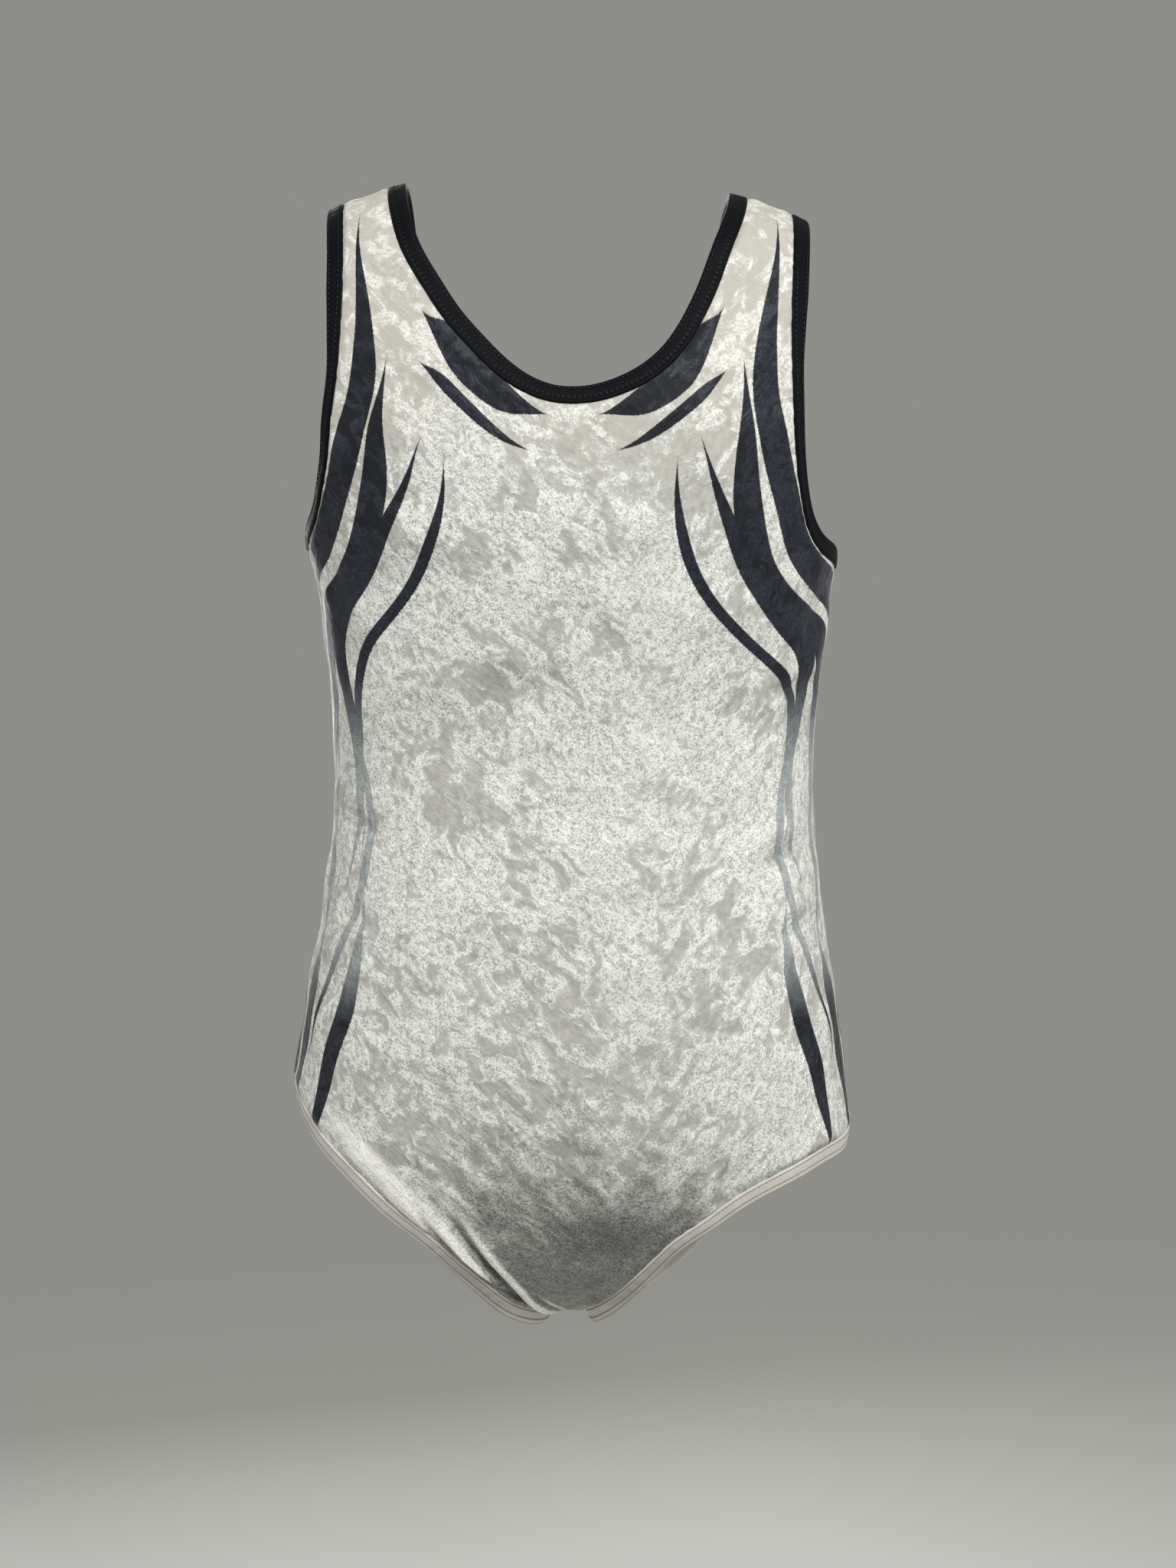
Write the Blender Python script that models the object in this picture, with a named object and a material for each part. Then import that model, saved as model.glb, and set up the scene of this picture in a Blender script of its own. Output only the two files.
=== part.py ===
"""A child's sleeveless gymnastics leotard, hollow and held in the shape it has when worn.

The cloth follows one smooth general figure. The front faces -Y, the wearer's left is +X and up is +Z.
The origin lies midway between the shoulder straps, at the height of the highest strap.
Lengths are in millimetres and angles in degrees, until a mesh is made in metres.

A place on the figure is a face (front or back), an angle and a level. The angle turns from the centre line of
that face, 0, to the side seams, 90 on the wearer's left and -90 on the right. The level is the height on the
trunk, and goes on along the cloth where it turns over the shoulders and under the crotch.
"""

import bmesh
import bpy
import numpy as np

METRES_PER_MM = 0.001

# Cloth and seams
CLOTH_THICKNESS = 1.5
SEAM_GAP = 0.3
BINDING_GAP = 0.35
DARK_BINDING_WIDTH = 7.6
CREAM_BINDING_WIDTH = 7.8
BINDING_THICKNESS = 2.2

# Outline of a binding, as shares of its width and of half its thickness, from the cloth to the free edge
BINDING_COLUMNS = ("width_share", "height_share")
BINDING_PROFILE = ((0.0, 0.7), (0.1, 1.0), (0.88, 1.0), (1.0, 0.45))

# How far each binding leans from the cloth beside it towards the wearer, at each level. Between the legs it hangs.
LEAN_COLUMNS = ("level", "lean")
LEANS = {
    "neck": ((-110.0, 4.0), (-60.0, 8.0), (30.0, 6.0)),
    "armhole": ((-182.0, 6.0), (-150.0, 26.0), (-90.0, 34.0), (-55.0, 14.0), (30.0, 4.0)),
    "leg": ((-595.0, -62.0), (-560.0, -56.0), (-530.0, -14.0), (-500.0, 10.0), (-420.0, 10.0)),
}

# General figure: half widths to the wearer's right and left, and depths to the front and back, at each level
SECTION_COLUMNS = ("level", "right_half", "left_half", "front_depth", "back_depth")
SECTIONS = (
    (-600.0, 131.0, 131.0, 82.0, 88.0),
    (-500.0, 133.0, 133.0, 84.0, 91.0),
    (-450.0, 134.2, 134.2, 86.0, 92.0),
    (-420.0, 133.0, 131.8, 87.0, 91.0),
    (-390.0, 128.6, 127.6, 86.0, 87.0),
    (-360.0, 123.2, 122.8, 84.0, 81.0),
    (-330.0, 117.7, 118.6, 81.5, 75.0),
    (-300.0, 113.9, 115.8, 79.0, 70.5),
    (-275.0, 112.5, 114.7, 78.0, 68.5),
    (-245.0, 113.8, 116.3, 79.5, 70.0),
    (-215.0, 117.0, 119.8, 83.0, 73.5),
    (-190.0, 119.7, 122.6, 86.0, 77.0),
    (-165.0, 126.0, 127.4, 88.0, 79.5),
    (-140.0, 134.5, 134.5, 87.5, 80.5),
    (-110.0, 147.0, 147.0, 84.0, 79.5),
    (-80.0, 158.5, 158.5, 77.5, 76.0),
    (-50.0, 165.5, 165.5, 69.0, 70.0),
    (-25.0, 168.0, 168.0, 63.5, 65.0),
    (0.0, 168.0, 168.0, 60.0, 62.0),
    (40.0, 168.0, 168.0, 58.0, 60.0),
)
SECTION_ROUNDNESS = 2.35

# The turn under the crotch
CROTCH_HEIGHT = -538.5
FRONT_TURN_HEIGHT = 92.0
BACK_TURN_HEIGHT = 74.0
CROTCH_HALF_WIDTH = 13.5
CROTCH_DROOP = 4.0
DROOP_REACH = 23.0
DROOP_START = 0.6

# The turn over the shoulders: the ridge falls away from the neck
SHOULDER_TURN_HEIGHT = 45.0
RIGHT_RIDGE_HEIGHT = -4.2
LEFT_RIDGE_HEIGHT = -9.5
RIDGE_INNER_X = 82.0
RIDGE_SLOPE = 0.34

# Edges of the cut pieces. Each row is an angle from the centre line and a level, on one half of one face.
HIP_LEVEL = {"right": -424.0, "left": -447.5}
UNDERARM_LEVEL = {"right": -172.0, "left": -180.5}
NECK_LEVEL = {"front": -108.8, "back": -107.0}
SHOULDER_NECK_ANGLE = {"right": 26.6, "left": 25.3}
SHOULDER_ARM_ANGLE = {"right": 35.6, "left": 34.2}

LEG_EDGE = {
    ("front", "right"): (
        (82.0, -425.6), (73.0, -429.0), (65.0, -435.0), (56.0, -443.8), (47.0, -453.2), (41.0, -461.3),
        (33.0, -473.7), (26.0, -485.3), (19.6, -501.5), (13.7, -520.3), (9.5, -539.0), (6.7, -553.0), (5.0, -570.0),
    ),
    ("front", "left"): (
        (80.0, -447.6), (70.0, -448.0), (59.0, -449.0), (48.0, -453.2), (37.0, -459.4), (29.5, -466.4),
        (22.5, -476.9), (16.4, -487.9), (12.2, -501.1), (9.0, -516.0), (6.0, -536.0), (4.5, -556.0),
    ),
    ("back", "right"): (
        (82.0, -425.6), (72.0, -430.5), (61.0, -443.0), (49.0, -465.0), (37.0, -492.0),
        (26.0, -518.0), (16.5, -541.0), (9.5, -559.0), (5.6, -571.0),
    ),
    ("back", "left"): (
        (82.0, -449.0), (72.0, -454.0), (61.0, -464.0), (49.0, -481.0), (37.0, -502.0),
        (26.0, -523.0), (16.5, -543.0), (9.5, -560.0), (5.6, -571.0),
    ),
}

ARM_EDGE = {
    ("front", "right"): (
        (84.0, -171.2), (74.0, -166.8), (64.0, -159.0), (55.8, -145.4), (50.0, -132.1), (46.0, -118.8),
        (40.5, -98.8), (37.0, -78.7), (35.0, -58.4), (34.3, -36.5), (35.0, -8.0),
    ),
    ("front", "left"): (
        (84.0, -179.8), (73.0, -177.2), (61.0, -172.0), (53.0, -162.0), (48.0, -149.0), (44.0, -135.6),
        (40.0, -118.9), (36.4, -98.8), (34.0, -78.6), (32.9, -58.1), (32.9, -34.9), (33.7, -8.0),
    ),
    ("back", "right"): (
        (84.0, -171.2), (72.0, -165.0), (60.0, -152.0), (50.5, -135.0), (43.5, -117.0),
        (38.4, -95.0), (35.4, -72.0), (34.4, -45.0), (35.0, -8.0),
    ),
    ("back", "left"): (
        (84.0, -179.8), (72.0, -173.5), (60.0, -160.0), (50.0, -141.0), (42.8, -121.0),
        (37.4, -97.0), (34.4, -73.0), (33.0, -45.0), (33.6, -8.0),
    ),
}

NECK_EDGE = {
    ("front", "right"): (
        (3.2, -107.3), (6.4, -103.0), (10.5, -93.5), (13.7, -83.2), (17.0, -71.2), (19.9, -57.5),
        (22.9, -42.0), (24.8, -25.0), (26.0, -5.0),
    ),
    ("front", "left"): (
        (3.2, -107.3), (7.6, -102.2), (12.0, -93.4), (14.7, -84.2), (16.9, -72.7), (18.9, -58.9),
        (20.9, -41.6), (23.0, -25.0), (24.6, -5.0),
    ),
    ("back", "right"): (
        (3.2, -105.2), (8.0, -101.5), (13.5, -92.5), (18.2, -80.0), (21.8, -65.0), (24.4, -47.0),
        (25.8, -27.0), (26.3, -5.0),
    ),
    ("back", "left"): (
        (3.2, -105.2), (8.0, -101.5), (13.2, -92.5), (17.4, -80.0), (20.6, -65.0), (22.8, -47.0),
        (24.1, -27.0), (24.9, -5.0),
    ),
}

# Largest folds, as troughs along a bowed line on one face. The height of a fold is along the cloth.
FOLD_COLUMNS = ("face", "x_start", "level_start", "x_end", "level_end", "bow", "half_width", "depth")
FOLDS = (
    ("front", -68.0, -480.0, -20.0, -556.0, -3.0, 3.6, 2.2),
    ("front", -50.0, -486.0, -14.0, -560.0, -6.0, 3.4, 2.6),
    ("front", 80.0, -318.0, 112.0, -308.0, 3.0, 5.5, 1.6),
    ("front", 84.0, -346.0, 114.0, -340.0, -3.0, 5.0, 1.3),
    ("front", -112.0, -296.0, -78.0, -304.0, 3.0, 6.0, 1.1),
    ("back", -60.0, -508.0, -18.0, -556.0, 5.0, 4.2, 2.0),
    ("back", 64.0, -510.0, 20.0, -558.0, -4.0, 4.0, 1.8),
    ("back", -70.0, -306.0, 46.0, -298.0, -8.0, 7.0, 1.8),
    ("back", -34.0, -330.0, 88.0, -340.0, 7.0, 7.5, 1.6),
    ("back", -96.0, -352.0, -30.0, -346.0, 4.0, 6.5, 1.2),
)
FOLD_LIP = 0.45
FOLD_LIP_PLACE = 1.9
FOLD_END_POWER = 0.7

# How finely the solids are divided
COLUMNS_PER_HALF = 11
LEG_ROWS = 18
SIDE_ROWS = 13
UNDERARM_ROWS = 9
STRAP_ROWS = 14

# How the rows cross a panel: they arch at the hips, hang at the underarms and part below the neckline
HIP_ARCH = 70.0
UNDERARM_CENTRE_LEVEL = -215.0
UNDERARM_FIRST_SHARE = 0.65
NECK_ROW_BEND = 0.3

CURVE_SAMPLES = 400
SHARP_ANGLE = 40.0
ANGLE_STEP = 0.5
LEVEL_STEP = 0.5

SIDE_SIGN = {"right": -1.0, "left": 1.0}
FACE_SIGN = {"front": 1.0, "back": -1.0}
TURN_HEIGHT = {"front": FRONT_TURN_HEIGHT, "back": BACK_TURN_HEIGHT}

MATERIALS = {
    "crushed_velvet": {"colour": (0.62, 0.61, 0.57), "roughness": 0.55},
    "dark_binding": {"colour": (0.012, 0.016, 0.026), "roughness": 0.45},
    "cream_binding": {"colour": (0.66, 0.64, 0.58), "roughness": 0.7},
}


def spline(knots, values):
    """Return a function that runs smoothly through the values, one for each rising knot."""
    knots = np.asarray(knots, float)
    values = np.asarray(values, float)
    steps = np.diff(knots)
    slopes = np.diff(values) / steps
    count = len(knots)
    system = np.eye(count)
    target = np.zeros(count)
    for row in range(1, count - 1):
        system[row, row - 1] = steps[row - 1]
        system[row, row] = 2.0 * (steps[row - 1] + steps[row])
        system[row, row + 1] = steps[row]
        target[row] = 6.0 * (slopes[row] - slopes[row - 1])
    bends = np.linalg.solve(system, target)

    def at(place):
        place = np.clip(np.asarray(place, float), knots[0], knots[-1])
        piece = np.clip(np.searchsorted(knots, place, side="right") - 1, 0, count - 2)
        width = steps[piece]
        past = place - knots[piece]
        left = knots[piece + 1] - place
        curved = (bends[piece] * left ** 3 + bends[piece + 1] * past ** 3) / (6.0 * width)
        from_left = (values[piece] / width - bends[piece] * width / 6.0) * left
        from_right = (values[piece + 1] / width - bends[piece + 1] * width / 6.0) * past
        return curved + from_left + from_right

    return at


SECTION_LEVELS = [row[0] for row in SECTIONS]
SECTION = {
    name: spline(SECTION_LEVELS, [row[column] for row in SECTIONS])
    for column, name in enumerate(SECTION_COLUMNS)
    if name != "level"
}


def signed_power(value, power):
    """Raise to a power, and keep the sign."""
    return np.sign(value) * np.abs(value) ** power


def crotch_level(face):
    """Return the level of the crotch seam on a face."""
    turn = TURN_HEIGHT[face]
    return CROTCH_HEIGHT + turn - turn * np.pi / 2.0


def ridge_height(x):
    """Return the height of the shoulder ridge at a distance from the centre."""
    inner = np.where(x < 0.0, RIGHT_RIDGE_HEIGHT, LEFT_RIDGE_HEIGHT)
    return inner - RIDGE_SLOPE * (np.abs(x) - RIDGE_INNER_X)


def shoulder_level(face, side, angle):
    """Return the level of the shoulder ridge at an angle on one side of a face."""
    half = float(SECTION[side + "_half"](0.0))
    x = SIDE_SIGN[side] * half * np.sin(np.radians(angle)) ** (2.0 / SECTION_ROUNDNESS)
    turn = SHOULDER_TURN_HEIGHT
    return float(ridge_height(x)) - turn + turn * np.pi / 2.0


def figure_point(face, angle, level):
    """Return the points of the general figure at angles and levels on a face."""
    angle = np.radians(np.asarray(angle, float))
    level = np.asarray(level, float)
    half = np.where(angle < 0.0, SECTION["right_half"](level), SECTION["left_half"](level))
    x = half * signed_power(np.sin(angle), 2.0 / SECTION_ROUNDNESS)
    depth = SECTION[face + "_depth"](level) * signed_power(np.cos(angle), 2.0 / SECTION_ROUNDNESS)

    turn = TURN_HEIGHT[face]
    under = np.maximum(CROTCH_HEIGHT + turn - level, 0.0) / turn
    shoulder_start = ridge_height(x) - SHOULDER_TURN_HEIGHT
    over = np.maximum(level - shoulder_start, 0.0) / SHOULDER_TURN_HEIGHT
    height = np.where(under > 0.0, CROTCH_HEIGHT + turn - turn * np.sin(under), level)
    height = np.where(over > 0.0, shoulder_start + SHOULDER_TURN_HEIGHT * np.sin(over), height)

    droop_share = np.clip((under - DROOP_START) / (np.pi / 2.0 - DROOP_START), 0.0, 1.0)
    droop_share = droop_share ** 2 * (3.0 - 2.0 * droop_share)
    height = height - CROTCH_DROOP * (1.0 - np.exp(-(x / DROOP_REACH) ** 2)) * droop_share
    y = -FACE_SIGN[face] * depth * np.cos(under) * np.cos(over)
    return np.stack([x, y, height], axis=-1)


def figure_normal(face, angle, level):
    """Return the outward directions of the figure at angles and levels on a face."""
    angle = np.asarray(angle, float)
    level = np.asarray(level, float)
    across = figure_point(face, angle + ANGLE_STEP, level) - figure_point(face, angle - ANGLE_STEP, level)
    along = figure_point(face, angle, level + LEVEL_STEP) - figure_point(face, angle, level - LEVEL_STEP)
    normal = FACE_SIGN[face] * np.cross(across, along)
    return normal / np.linalg.norm(normal, axis=-1, keepdims=True)


def fold_height(face, x, level):
    """Return how far the folds move the cloth outwards at places on a face."""
    height = np.zeros(np.shape(x))
    for row in FOLDS:
        fold = dict(zip(FOLD_COLUMNS, row))
        if fold["face"] != face:
            continue
        start = np.array([fold["x_start"], fold["level_start"]])
        run = np.array([fold["x_end"], fold["level_end"]]) - start
        length = np.linalg.norm(run)
        run = run / length
        from_start = np.stack([x, level], axis=-1) - start
        share = from_start @ run / length
        aside = from_start @ np.array([-run[1], run[0]])
        aside = aside - fold["bow"] * 4.0 * share * (1.0 - share)
        fade = np.sin(np.pi * np.clip(share, 0.0, 1.0)) ** FOLD_END_POWER
        place = aside / fold["half_width"]
        trough = -np.exp(-place ** 2) + FOLD_LIP * np.exp(-(np.abs(place) - FOLD_LIP_PLACE) ** 2)
        height = height + fold["depth"] * fade * trough
    return height


def even_edge(face, rows, count):
    """Return count + 1 places, evenly spaced along a smooth edge through the rows of signed angles and levels."""
    rows = np.asarray(rows, float)
    corners = figure_point(face, rows[:, 0], rows[:, 1])
    reach = np.concatenate([[0.0], np.cumsum(np.linalg.norm(np.diff(corners, axis=0), axis=1))])
    fine = np.linspace(0.0, reach[-1], CURVE_SAMPLES)
    angles = spline(reach, rows[:, 0])(fine)
    levels = spline(reach, rows[:, 1])(fine)
    steps = np.linalg.norm(np.diff(figure_point(face, angles, levels), axis=0), axis=1)
    travelled = np.concatenate([[0.0], np.cumsum(steps)])
    places = np.linspace(0.0, travelled[-1], count + 1)
    return np.stack([np.interp(places, travelled, angles), np.interp(places, travelled, levels)], axis=-1)


def on_side(side, rows):
    """Return table rows with the angles signed for a side."""
    return [(SIDE_SIGN[side] * angle, level) for angle, level in rows]


def shoulder_row(face, side, angle):
    """Return the place on the shoulder seam at an angle, as a table row."""
    return (angle, shoulder_level(face, side, angle))


def leg_edge(face, side):
    """Return the leg edge of one half, from the crotch seam to the hip."""
    level = crotch_level(face)
    share = CROTCH_HALF_WIDTH / float(SECTION[side + "_half"](level))
    crotch_angle = float(np.degrees(np.arcsin(share ** (SECTION_ROUNDNESS / 2.0))))
    rows = ((90.0, HIP_LEVEL[side]),) + LEG_EDGE[face, side] + ((crotch_angle, level),)
    return even_edge(face, on_side(side, rows), LEG_ROWS)[::-1]


def side_seam(side):
    """Return the side seam of one side, from the hip to the underarm."""
    levels = np.linspace(HIP_LEVEL[side], UNDERARM_LEVEL[side], SIDE_ROWS + 1)
    return np.stack([np.full(SIDE_ROWS + 1, SIDE_SIGN[side] * 90.0), levels], axis=-1)


def arm_edge(face, side):
    """Return the armhole edge of one half, from the underarm to the shoulder seam."""
    end = shoulder_row(face, side, SHOULDER_ARM_ANGLE[side])
    rows = ((90.0, UNDERARM_LEVEL[side]),) + ARM_EDGE[face, side] + (end,)
    return even_edge(face, on_side(side, rows), UNDERARM_ROWS + STRAP_ROWS)


def neck_edge(face, side):
    """Return the neck edge of one half, from the centre line to the shoulder seam."""
    halves = {}
    for half in SIDE_SIGN:
        end = shoulder_row(face, half, SHOULDER_NECK_ANGLE[half])
        halves[half] = on_side(half, NECK_EDGE[face, half] + (end,))
    other = "left" if side == "right" else "right"
    rows = halves[other][:0:-1][-2:] + [halves[other][0]] + [(0.0, NECK_LEVEL[face])] + halves[side]
    fine = even_edge(face, rows, CURVE_SAMPLES)
    centre = int(np.argmin(np.abs(fine[:, 0])))
    half_edge = fine[centre:].copy()
    half_edge[0] = (0.0, NECK_LEVEL[face])
    picks = np.linspace(0.0, len(half_edge) - 1.0, STRAP_ROWS + 1)
    at = np.arange(len(half_edge))
    return np.stack([np.interp(picks, at, half_edge[:, 0]), np.interp(picks, at, half_edge[:, 1])], axis=-1)


def trunk_edge(face, side):
    """Return the outer edge of one half, from the crotch seam to the row that the straps grow from."""
    arm = arm_edge(face, side)[:UNDERARM_ROWS + 1]
    return np.concatenate([leg_edge(face, side), side_seam(side)[1:], arm[1:]])


def centre_levels(face):
    """Return the level of the centre line on each row of the trunk."""
    edge_levels = [leg_edge(face, side)[:, 1] for side in SIDE_SIGN]
    arch = HIP_ARCH * np.linspace(0.0, 1.0, LEG_ROWS + 1)
    leg = np.mean(edge_levels, axis=0) + arch
    side = np.linspace(leg[-1], UNDERARM_CENTRE_LEVEL, SIDE_ROWS + 1)
    share = np.linspace(0.0, 1.0, UNDERARM_ROWS + 1)
    share = share * (UNDERARM_FIRST_SHARE + (1.0 - UNDERARM_FIRST_SHARE) * share)
    chest = UNDERARM_CENTRE_LEVEL + (NECK_LEVEL[face] - UNDERARM_CENTRE_LEVEL) * share
    return np.concatenate([leg, side[1:], chest[1:]])


def half_rows(inner, outer, bend):
    """Return a grid of places whose rows run from an inner edge to an outer edge.

    A row with a bend of 1 leaves the inner edge level and curves, and one with a bend of 0 is straight.
    """
    share = np.linspace(0.0, 1.0, COLUMNS_PER_HALF + 1)[None, :]
    curved = share * share * bend[:, None] + share * (1.0 - bend[:, None])
    angle = inner[:, :1] + (outer[:, :1] - inner[:, :1]) * share
    level = inner[:, 1:] + (outer[:, 1:] - inner[:, 1:]) * curved
    return np.stack([angle, level], axis=-1)


def trunk_grid(face):
    """Return the places of the trunk of one face, row by row from the wearer's right to the left."""
    levels = centre_levels(face)
    centre = np.stack([np.zeros(len(levels)), levels], axis=-1)
    bend = np.ones(len(levels))
    bend[-UNDERARM_ROWS - 1:] = np.linspace(1.0, NECK_ROW_BEND, UNDERARM_ROWS + 1)
    right = half_rows(centre, trunk_edge(face, "right"), bend)
    left = half_rows(centre, trunk_edge(face, "left"), bend)
    return np.concatenate([right[:, :0:-1], left], axis=1)


def strap_grid(face, side):
    """Return the places of one strap, row by row from the wearer's right to the left."""
    bend = NECK_ROW_BEND * (1.0 - np.linspace(0.0, 1.0, STRAP_ROWS + 1)) ** 2
    grid = half_rows(neck_edge(face, side), arm_edge(face, side)[UNDERARM_ROWS:], bend)
    return grid[:, ::-1] if side == "right" else grid


def cloth_point(face, place, depth):
    """Return the points of the cloth of a face, at a depth below its outer side."""
    angle, level = place[..., 0], place[..., 1]
    base = figure_point(face, angle, level)
    lift = fold_height(face, base[..., 0], level) - depth
    return base + figure_normal(face, angle, level) * lift[..., None]


def new_object(name, vertices, faces, material_name):
    """Make one closed mesh object in metres, with its own material."""
    mesh = bpy.data.meshes.new(name)
    builder = bmesh.new()
    corners = [builder.verts.new(vertex * METRES_PER_MM) for vertex in vertices]
    for face in faces:
        builder.faces.new([corners[index] for index in face])
    bmesh.ops.recalc_face_normals(builder, faces=builder.faces)
    builder.to_mesh(mesh)
    builder.free()
    finish = MATERIALS[material_name]
    material = bpy.data.materials.new(name + "_" + material_name)
    material.use_nodes = True
    shader = material.node_tree.nodes["Principled BSDF"]
    shader.inputs["Base Color"].default_value = (*finish["colour"], 1.0)
    shader.inputs["Roughness"].default_value = finish["roughness"]
    shader.inputs["Metallic"].default_value = 0.0
    mesh.materials.append(material)
    mesh.shade_smooth()
    mesh.set_sharp_from_angle(angle=np.radians(SHARP_ANGLE))
    created = bpy.data.objects.new(name, mesh)
    bpy.context.collection.objects.link(created)
    return created


def panel_layout(face):
    """Return the places of a whole panel and its four-sided faces.

    The trunk is one grid from side to side. Each strap is a grid that grows from half of the trunk's last row.
    """
    trunk = trunk_grid(face)
    places = list(trunk.reshape(-1, 2))
    row_length = trunk.shape[1]
    quads = []

    def add_quads(lower, upper):
        for column in range(len(lower) - 1):
            quads.append((lower[column], lower[column + 1], upper[column + 1], upper[column]))

    trunk_rows = [list(range(row * row_length, (row + 1) * row_length)) for row in range(len(trunk))]
    for lower, upper in zip(trunk_rows, trunk_rows[1:]):
        add_quads(lower, upper)

    strap_starts = {
        "right": trunk_rows[-1][:COLUMNS_PER_HALF + 1],
        "left": trunk_rows[-1][COLUMNS_PER_HALF:],
    }
    for side, lower in strap_starts.items():
        for row in strap_grid(face, side)[1:]:
            upper = list(range(len(places), len(places) + len(row)))
            places.extend(row)
            add_quads(lower, upper)
            lower = upper
    return np.array(places), quads


def border_edges(quads):
    """Return the directed edges that only one quad uses."""
    used = {(quad[i], quad[(i + 1) % 4]) for quad in quads for i in range(4)}
    return [edge for edge in used if (edge[1], edge[0]) not in used]


def make_panel(name, face):
    """Make the front or the back as one wall of velvet, with the seam gap split between the two."""
    places, quads = panel_layout(face)
    outer = cloth_point(face, places, 0.0)
    inner = cloth_point(face, places, CLOTH_THICKNESS)
    vertices = np.concatenate([outer, inner])
    vertices[:, 1] -= FACE_SIGN[face] * SEAM_GAP / 2.0
    count = len(places)
    faces = list(quads)
    faces += [tuple(index + count for index in reversed(quad)) for quad in quads]
    faces += [(second, first, first + count, second + count) for first, second in sorted(border_edges(quads))]
    return new_object(name, vertices, faces, "crushed_velvet")


def binding_section(width):
    """Return the outline of a binding as distances across it, and heights above its middle."""
    rows = [dict(zip(BINDING_COLUMNS, row)) for row in BINDING_PROFILE]
    half = BINDING_THICKNESS / 2.0
    upper = [(width * row["width_share"], half * row["height_share"]) for row in rows]
    lower = [(distance, -height) for distance, height in reversed(upper)]
    return upper + lower


def binding_lean(kind, levels):
    """Return how far a kind of binding leans towards the wearer at levels, in radians."""
    rows = [dict(zip(LEAN_COLUMNS, row)) for row in LEANS[kind]]
    lean = np.interp(levels, [row["level"] for row in rows], [row["lean"] for row in rows])
    return np.radians(lean)


def make_binding(name, kind, stations, turn, width, material_name):
    """Make a binding as a closed band beside the edge that the stations follow.

    Each station is a face, an angle and a level. The turn is 1 or -1, for the side of the edge that is open.
    """
    points = np.array([figure_point(face, angle, level) for face, angle, level in stations])
    normals = np.array([figure_normal(face, angle, level) for face, angle, level in stations])
    tangents = np.roll(points, -1, axis=0) - np.roll(points, 1, axis=0)
    across = turn * np.cross(tangents, normals)
    across /= np.linalg.norm(across, axis=1, keepdims=True)
    leans = binding_lean(kind, [level for _, _, level in stations])
    middle = points - normals * CLOTH_THICKNESS / 2.0
    section = binding_section(width)
    vertices = []
    for point, out, sideways, lean in zip(middle, normals, across, leans):
        leaning = sideways * np.cos(lean) - out * np.sin(lean)
        upright = out * np.cos(lean) + sideways * np.sin(lean)
        hinge = point + sideways * (BINDING_GAP + BINDING_THICKNESS / 2.0 * abs(np.sin(lean)))
        for distance, height in section:
            vertices.append(hinge + leaning * distance + upright * height)
    size = len(section)
    total = len(stations)
    faces = []
    for station in range(total):
        following = (station + 1) % total
        for corner in range(size):
            beside = (corner + 1) % size
            faces.append((station * size + corner, station * size + beside,
                          following * size + beside, following * size + corner))
    return new_object(name, vertices, faces, material_name)


def on_face(face, places):
    """Return places as stations on a face."""
    return [(face, angle, level) for angle, level in places]


def leg_stations(side):
    """Return the leg edge of one side, from the crotch over the hip and back under the seat."""
    return on_face("front", leg_edge("front", side)) + on_face("back", leg_edge("back", side)[::-1][1:-1])


def arm_stations(side):
    """Return the armhole edge of one side, from the underarm up the front and down the back."""
    return on_face("front", arm_edge("front", side)) + on_face("back", arm_edge("back", side)[::-1][1:-1])


def neck_stations():
    """Return the neck edge, from the right shoulder across the front, and back across the back."""
    front = np.concatenate([neck_edge("front", "right")[::-1], neck_edge("front", "left")[1:]])
    back = np.concatenate([neck_edge("back", "left")[::-1][1:], neck_edge("back", "right")[1:-1]])
    return on_face("front", front) + on_face("back", back)


def main():
    """Model the leotard: two panels and five bindings."""
    for old in list(bpy.data.objects):
        bpy.data.objects.remove(old, do_unlink=True)
    make_panel("front_panel", "front")
    make_panel("back_panel", "back")
    make_binding("neck_binding", "neck", neck_stations(), -1.0, DARK_BINDING_WIDTH, "dark_binding")
    for side, sign in SIDE_SIGN.items():
        arm_name = "armhole_binding_" + side
        make_binding(arm_name, "armhole", arm_stations(side), sign, DARK_BINDING_WIDTH, "dark_binding")
        leg_name = "leg_binding_" + side
        make_binding(leg_name, "leg", leg_stations(side), sign, CREAM_BINDING_WIDTH, "cream_binding")


main()
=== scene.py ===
"""Looks of a child's sleeveless gymnastics leotard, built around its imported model.

Every sheet of cloth is made again, finer, on the general figure that the solids follow. The front faces -Y,
the wearer's left is +X and up is +Z. Lengths are in millimetres and angles in degrees, until a mesh is made
in metres and where a name ends in _m.

A place on the figure is a face, an angle and a level. The angle turns from the centre line of the face, 0,
to the side seams, 90 on the wearer's left and -90 on the right. The level is the height on the trunk, and
goes on along the cloth where it turns over the shoulders and under the crotch.
"""

from __future__ import annotations

import logging
import math
from dataclasses import dataclass, field
from enum import Enum
from typing import Callable, NamedTuple, Sequence

import bpy
import numpy as np
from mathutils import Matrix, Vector, kdtree


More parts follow.
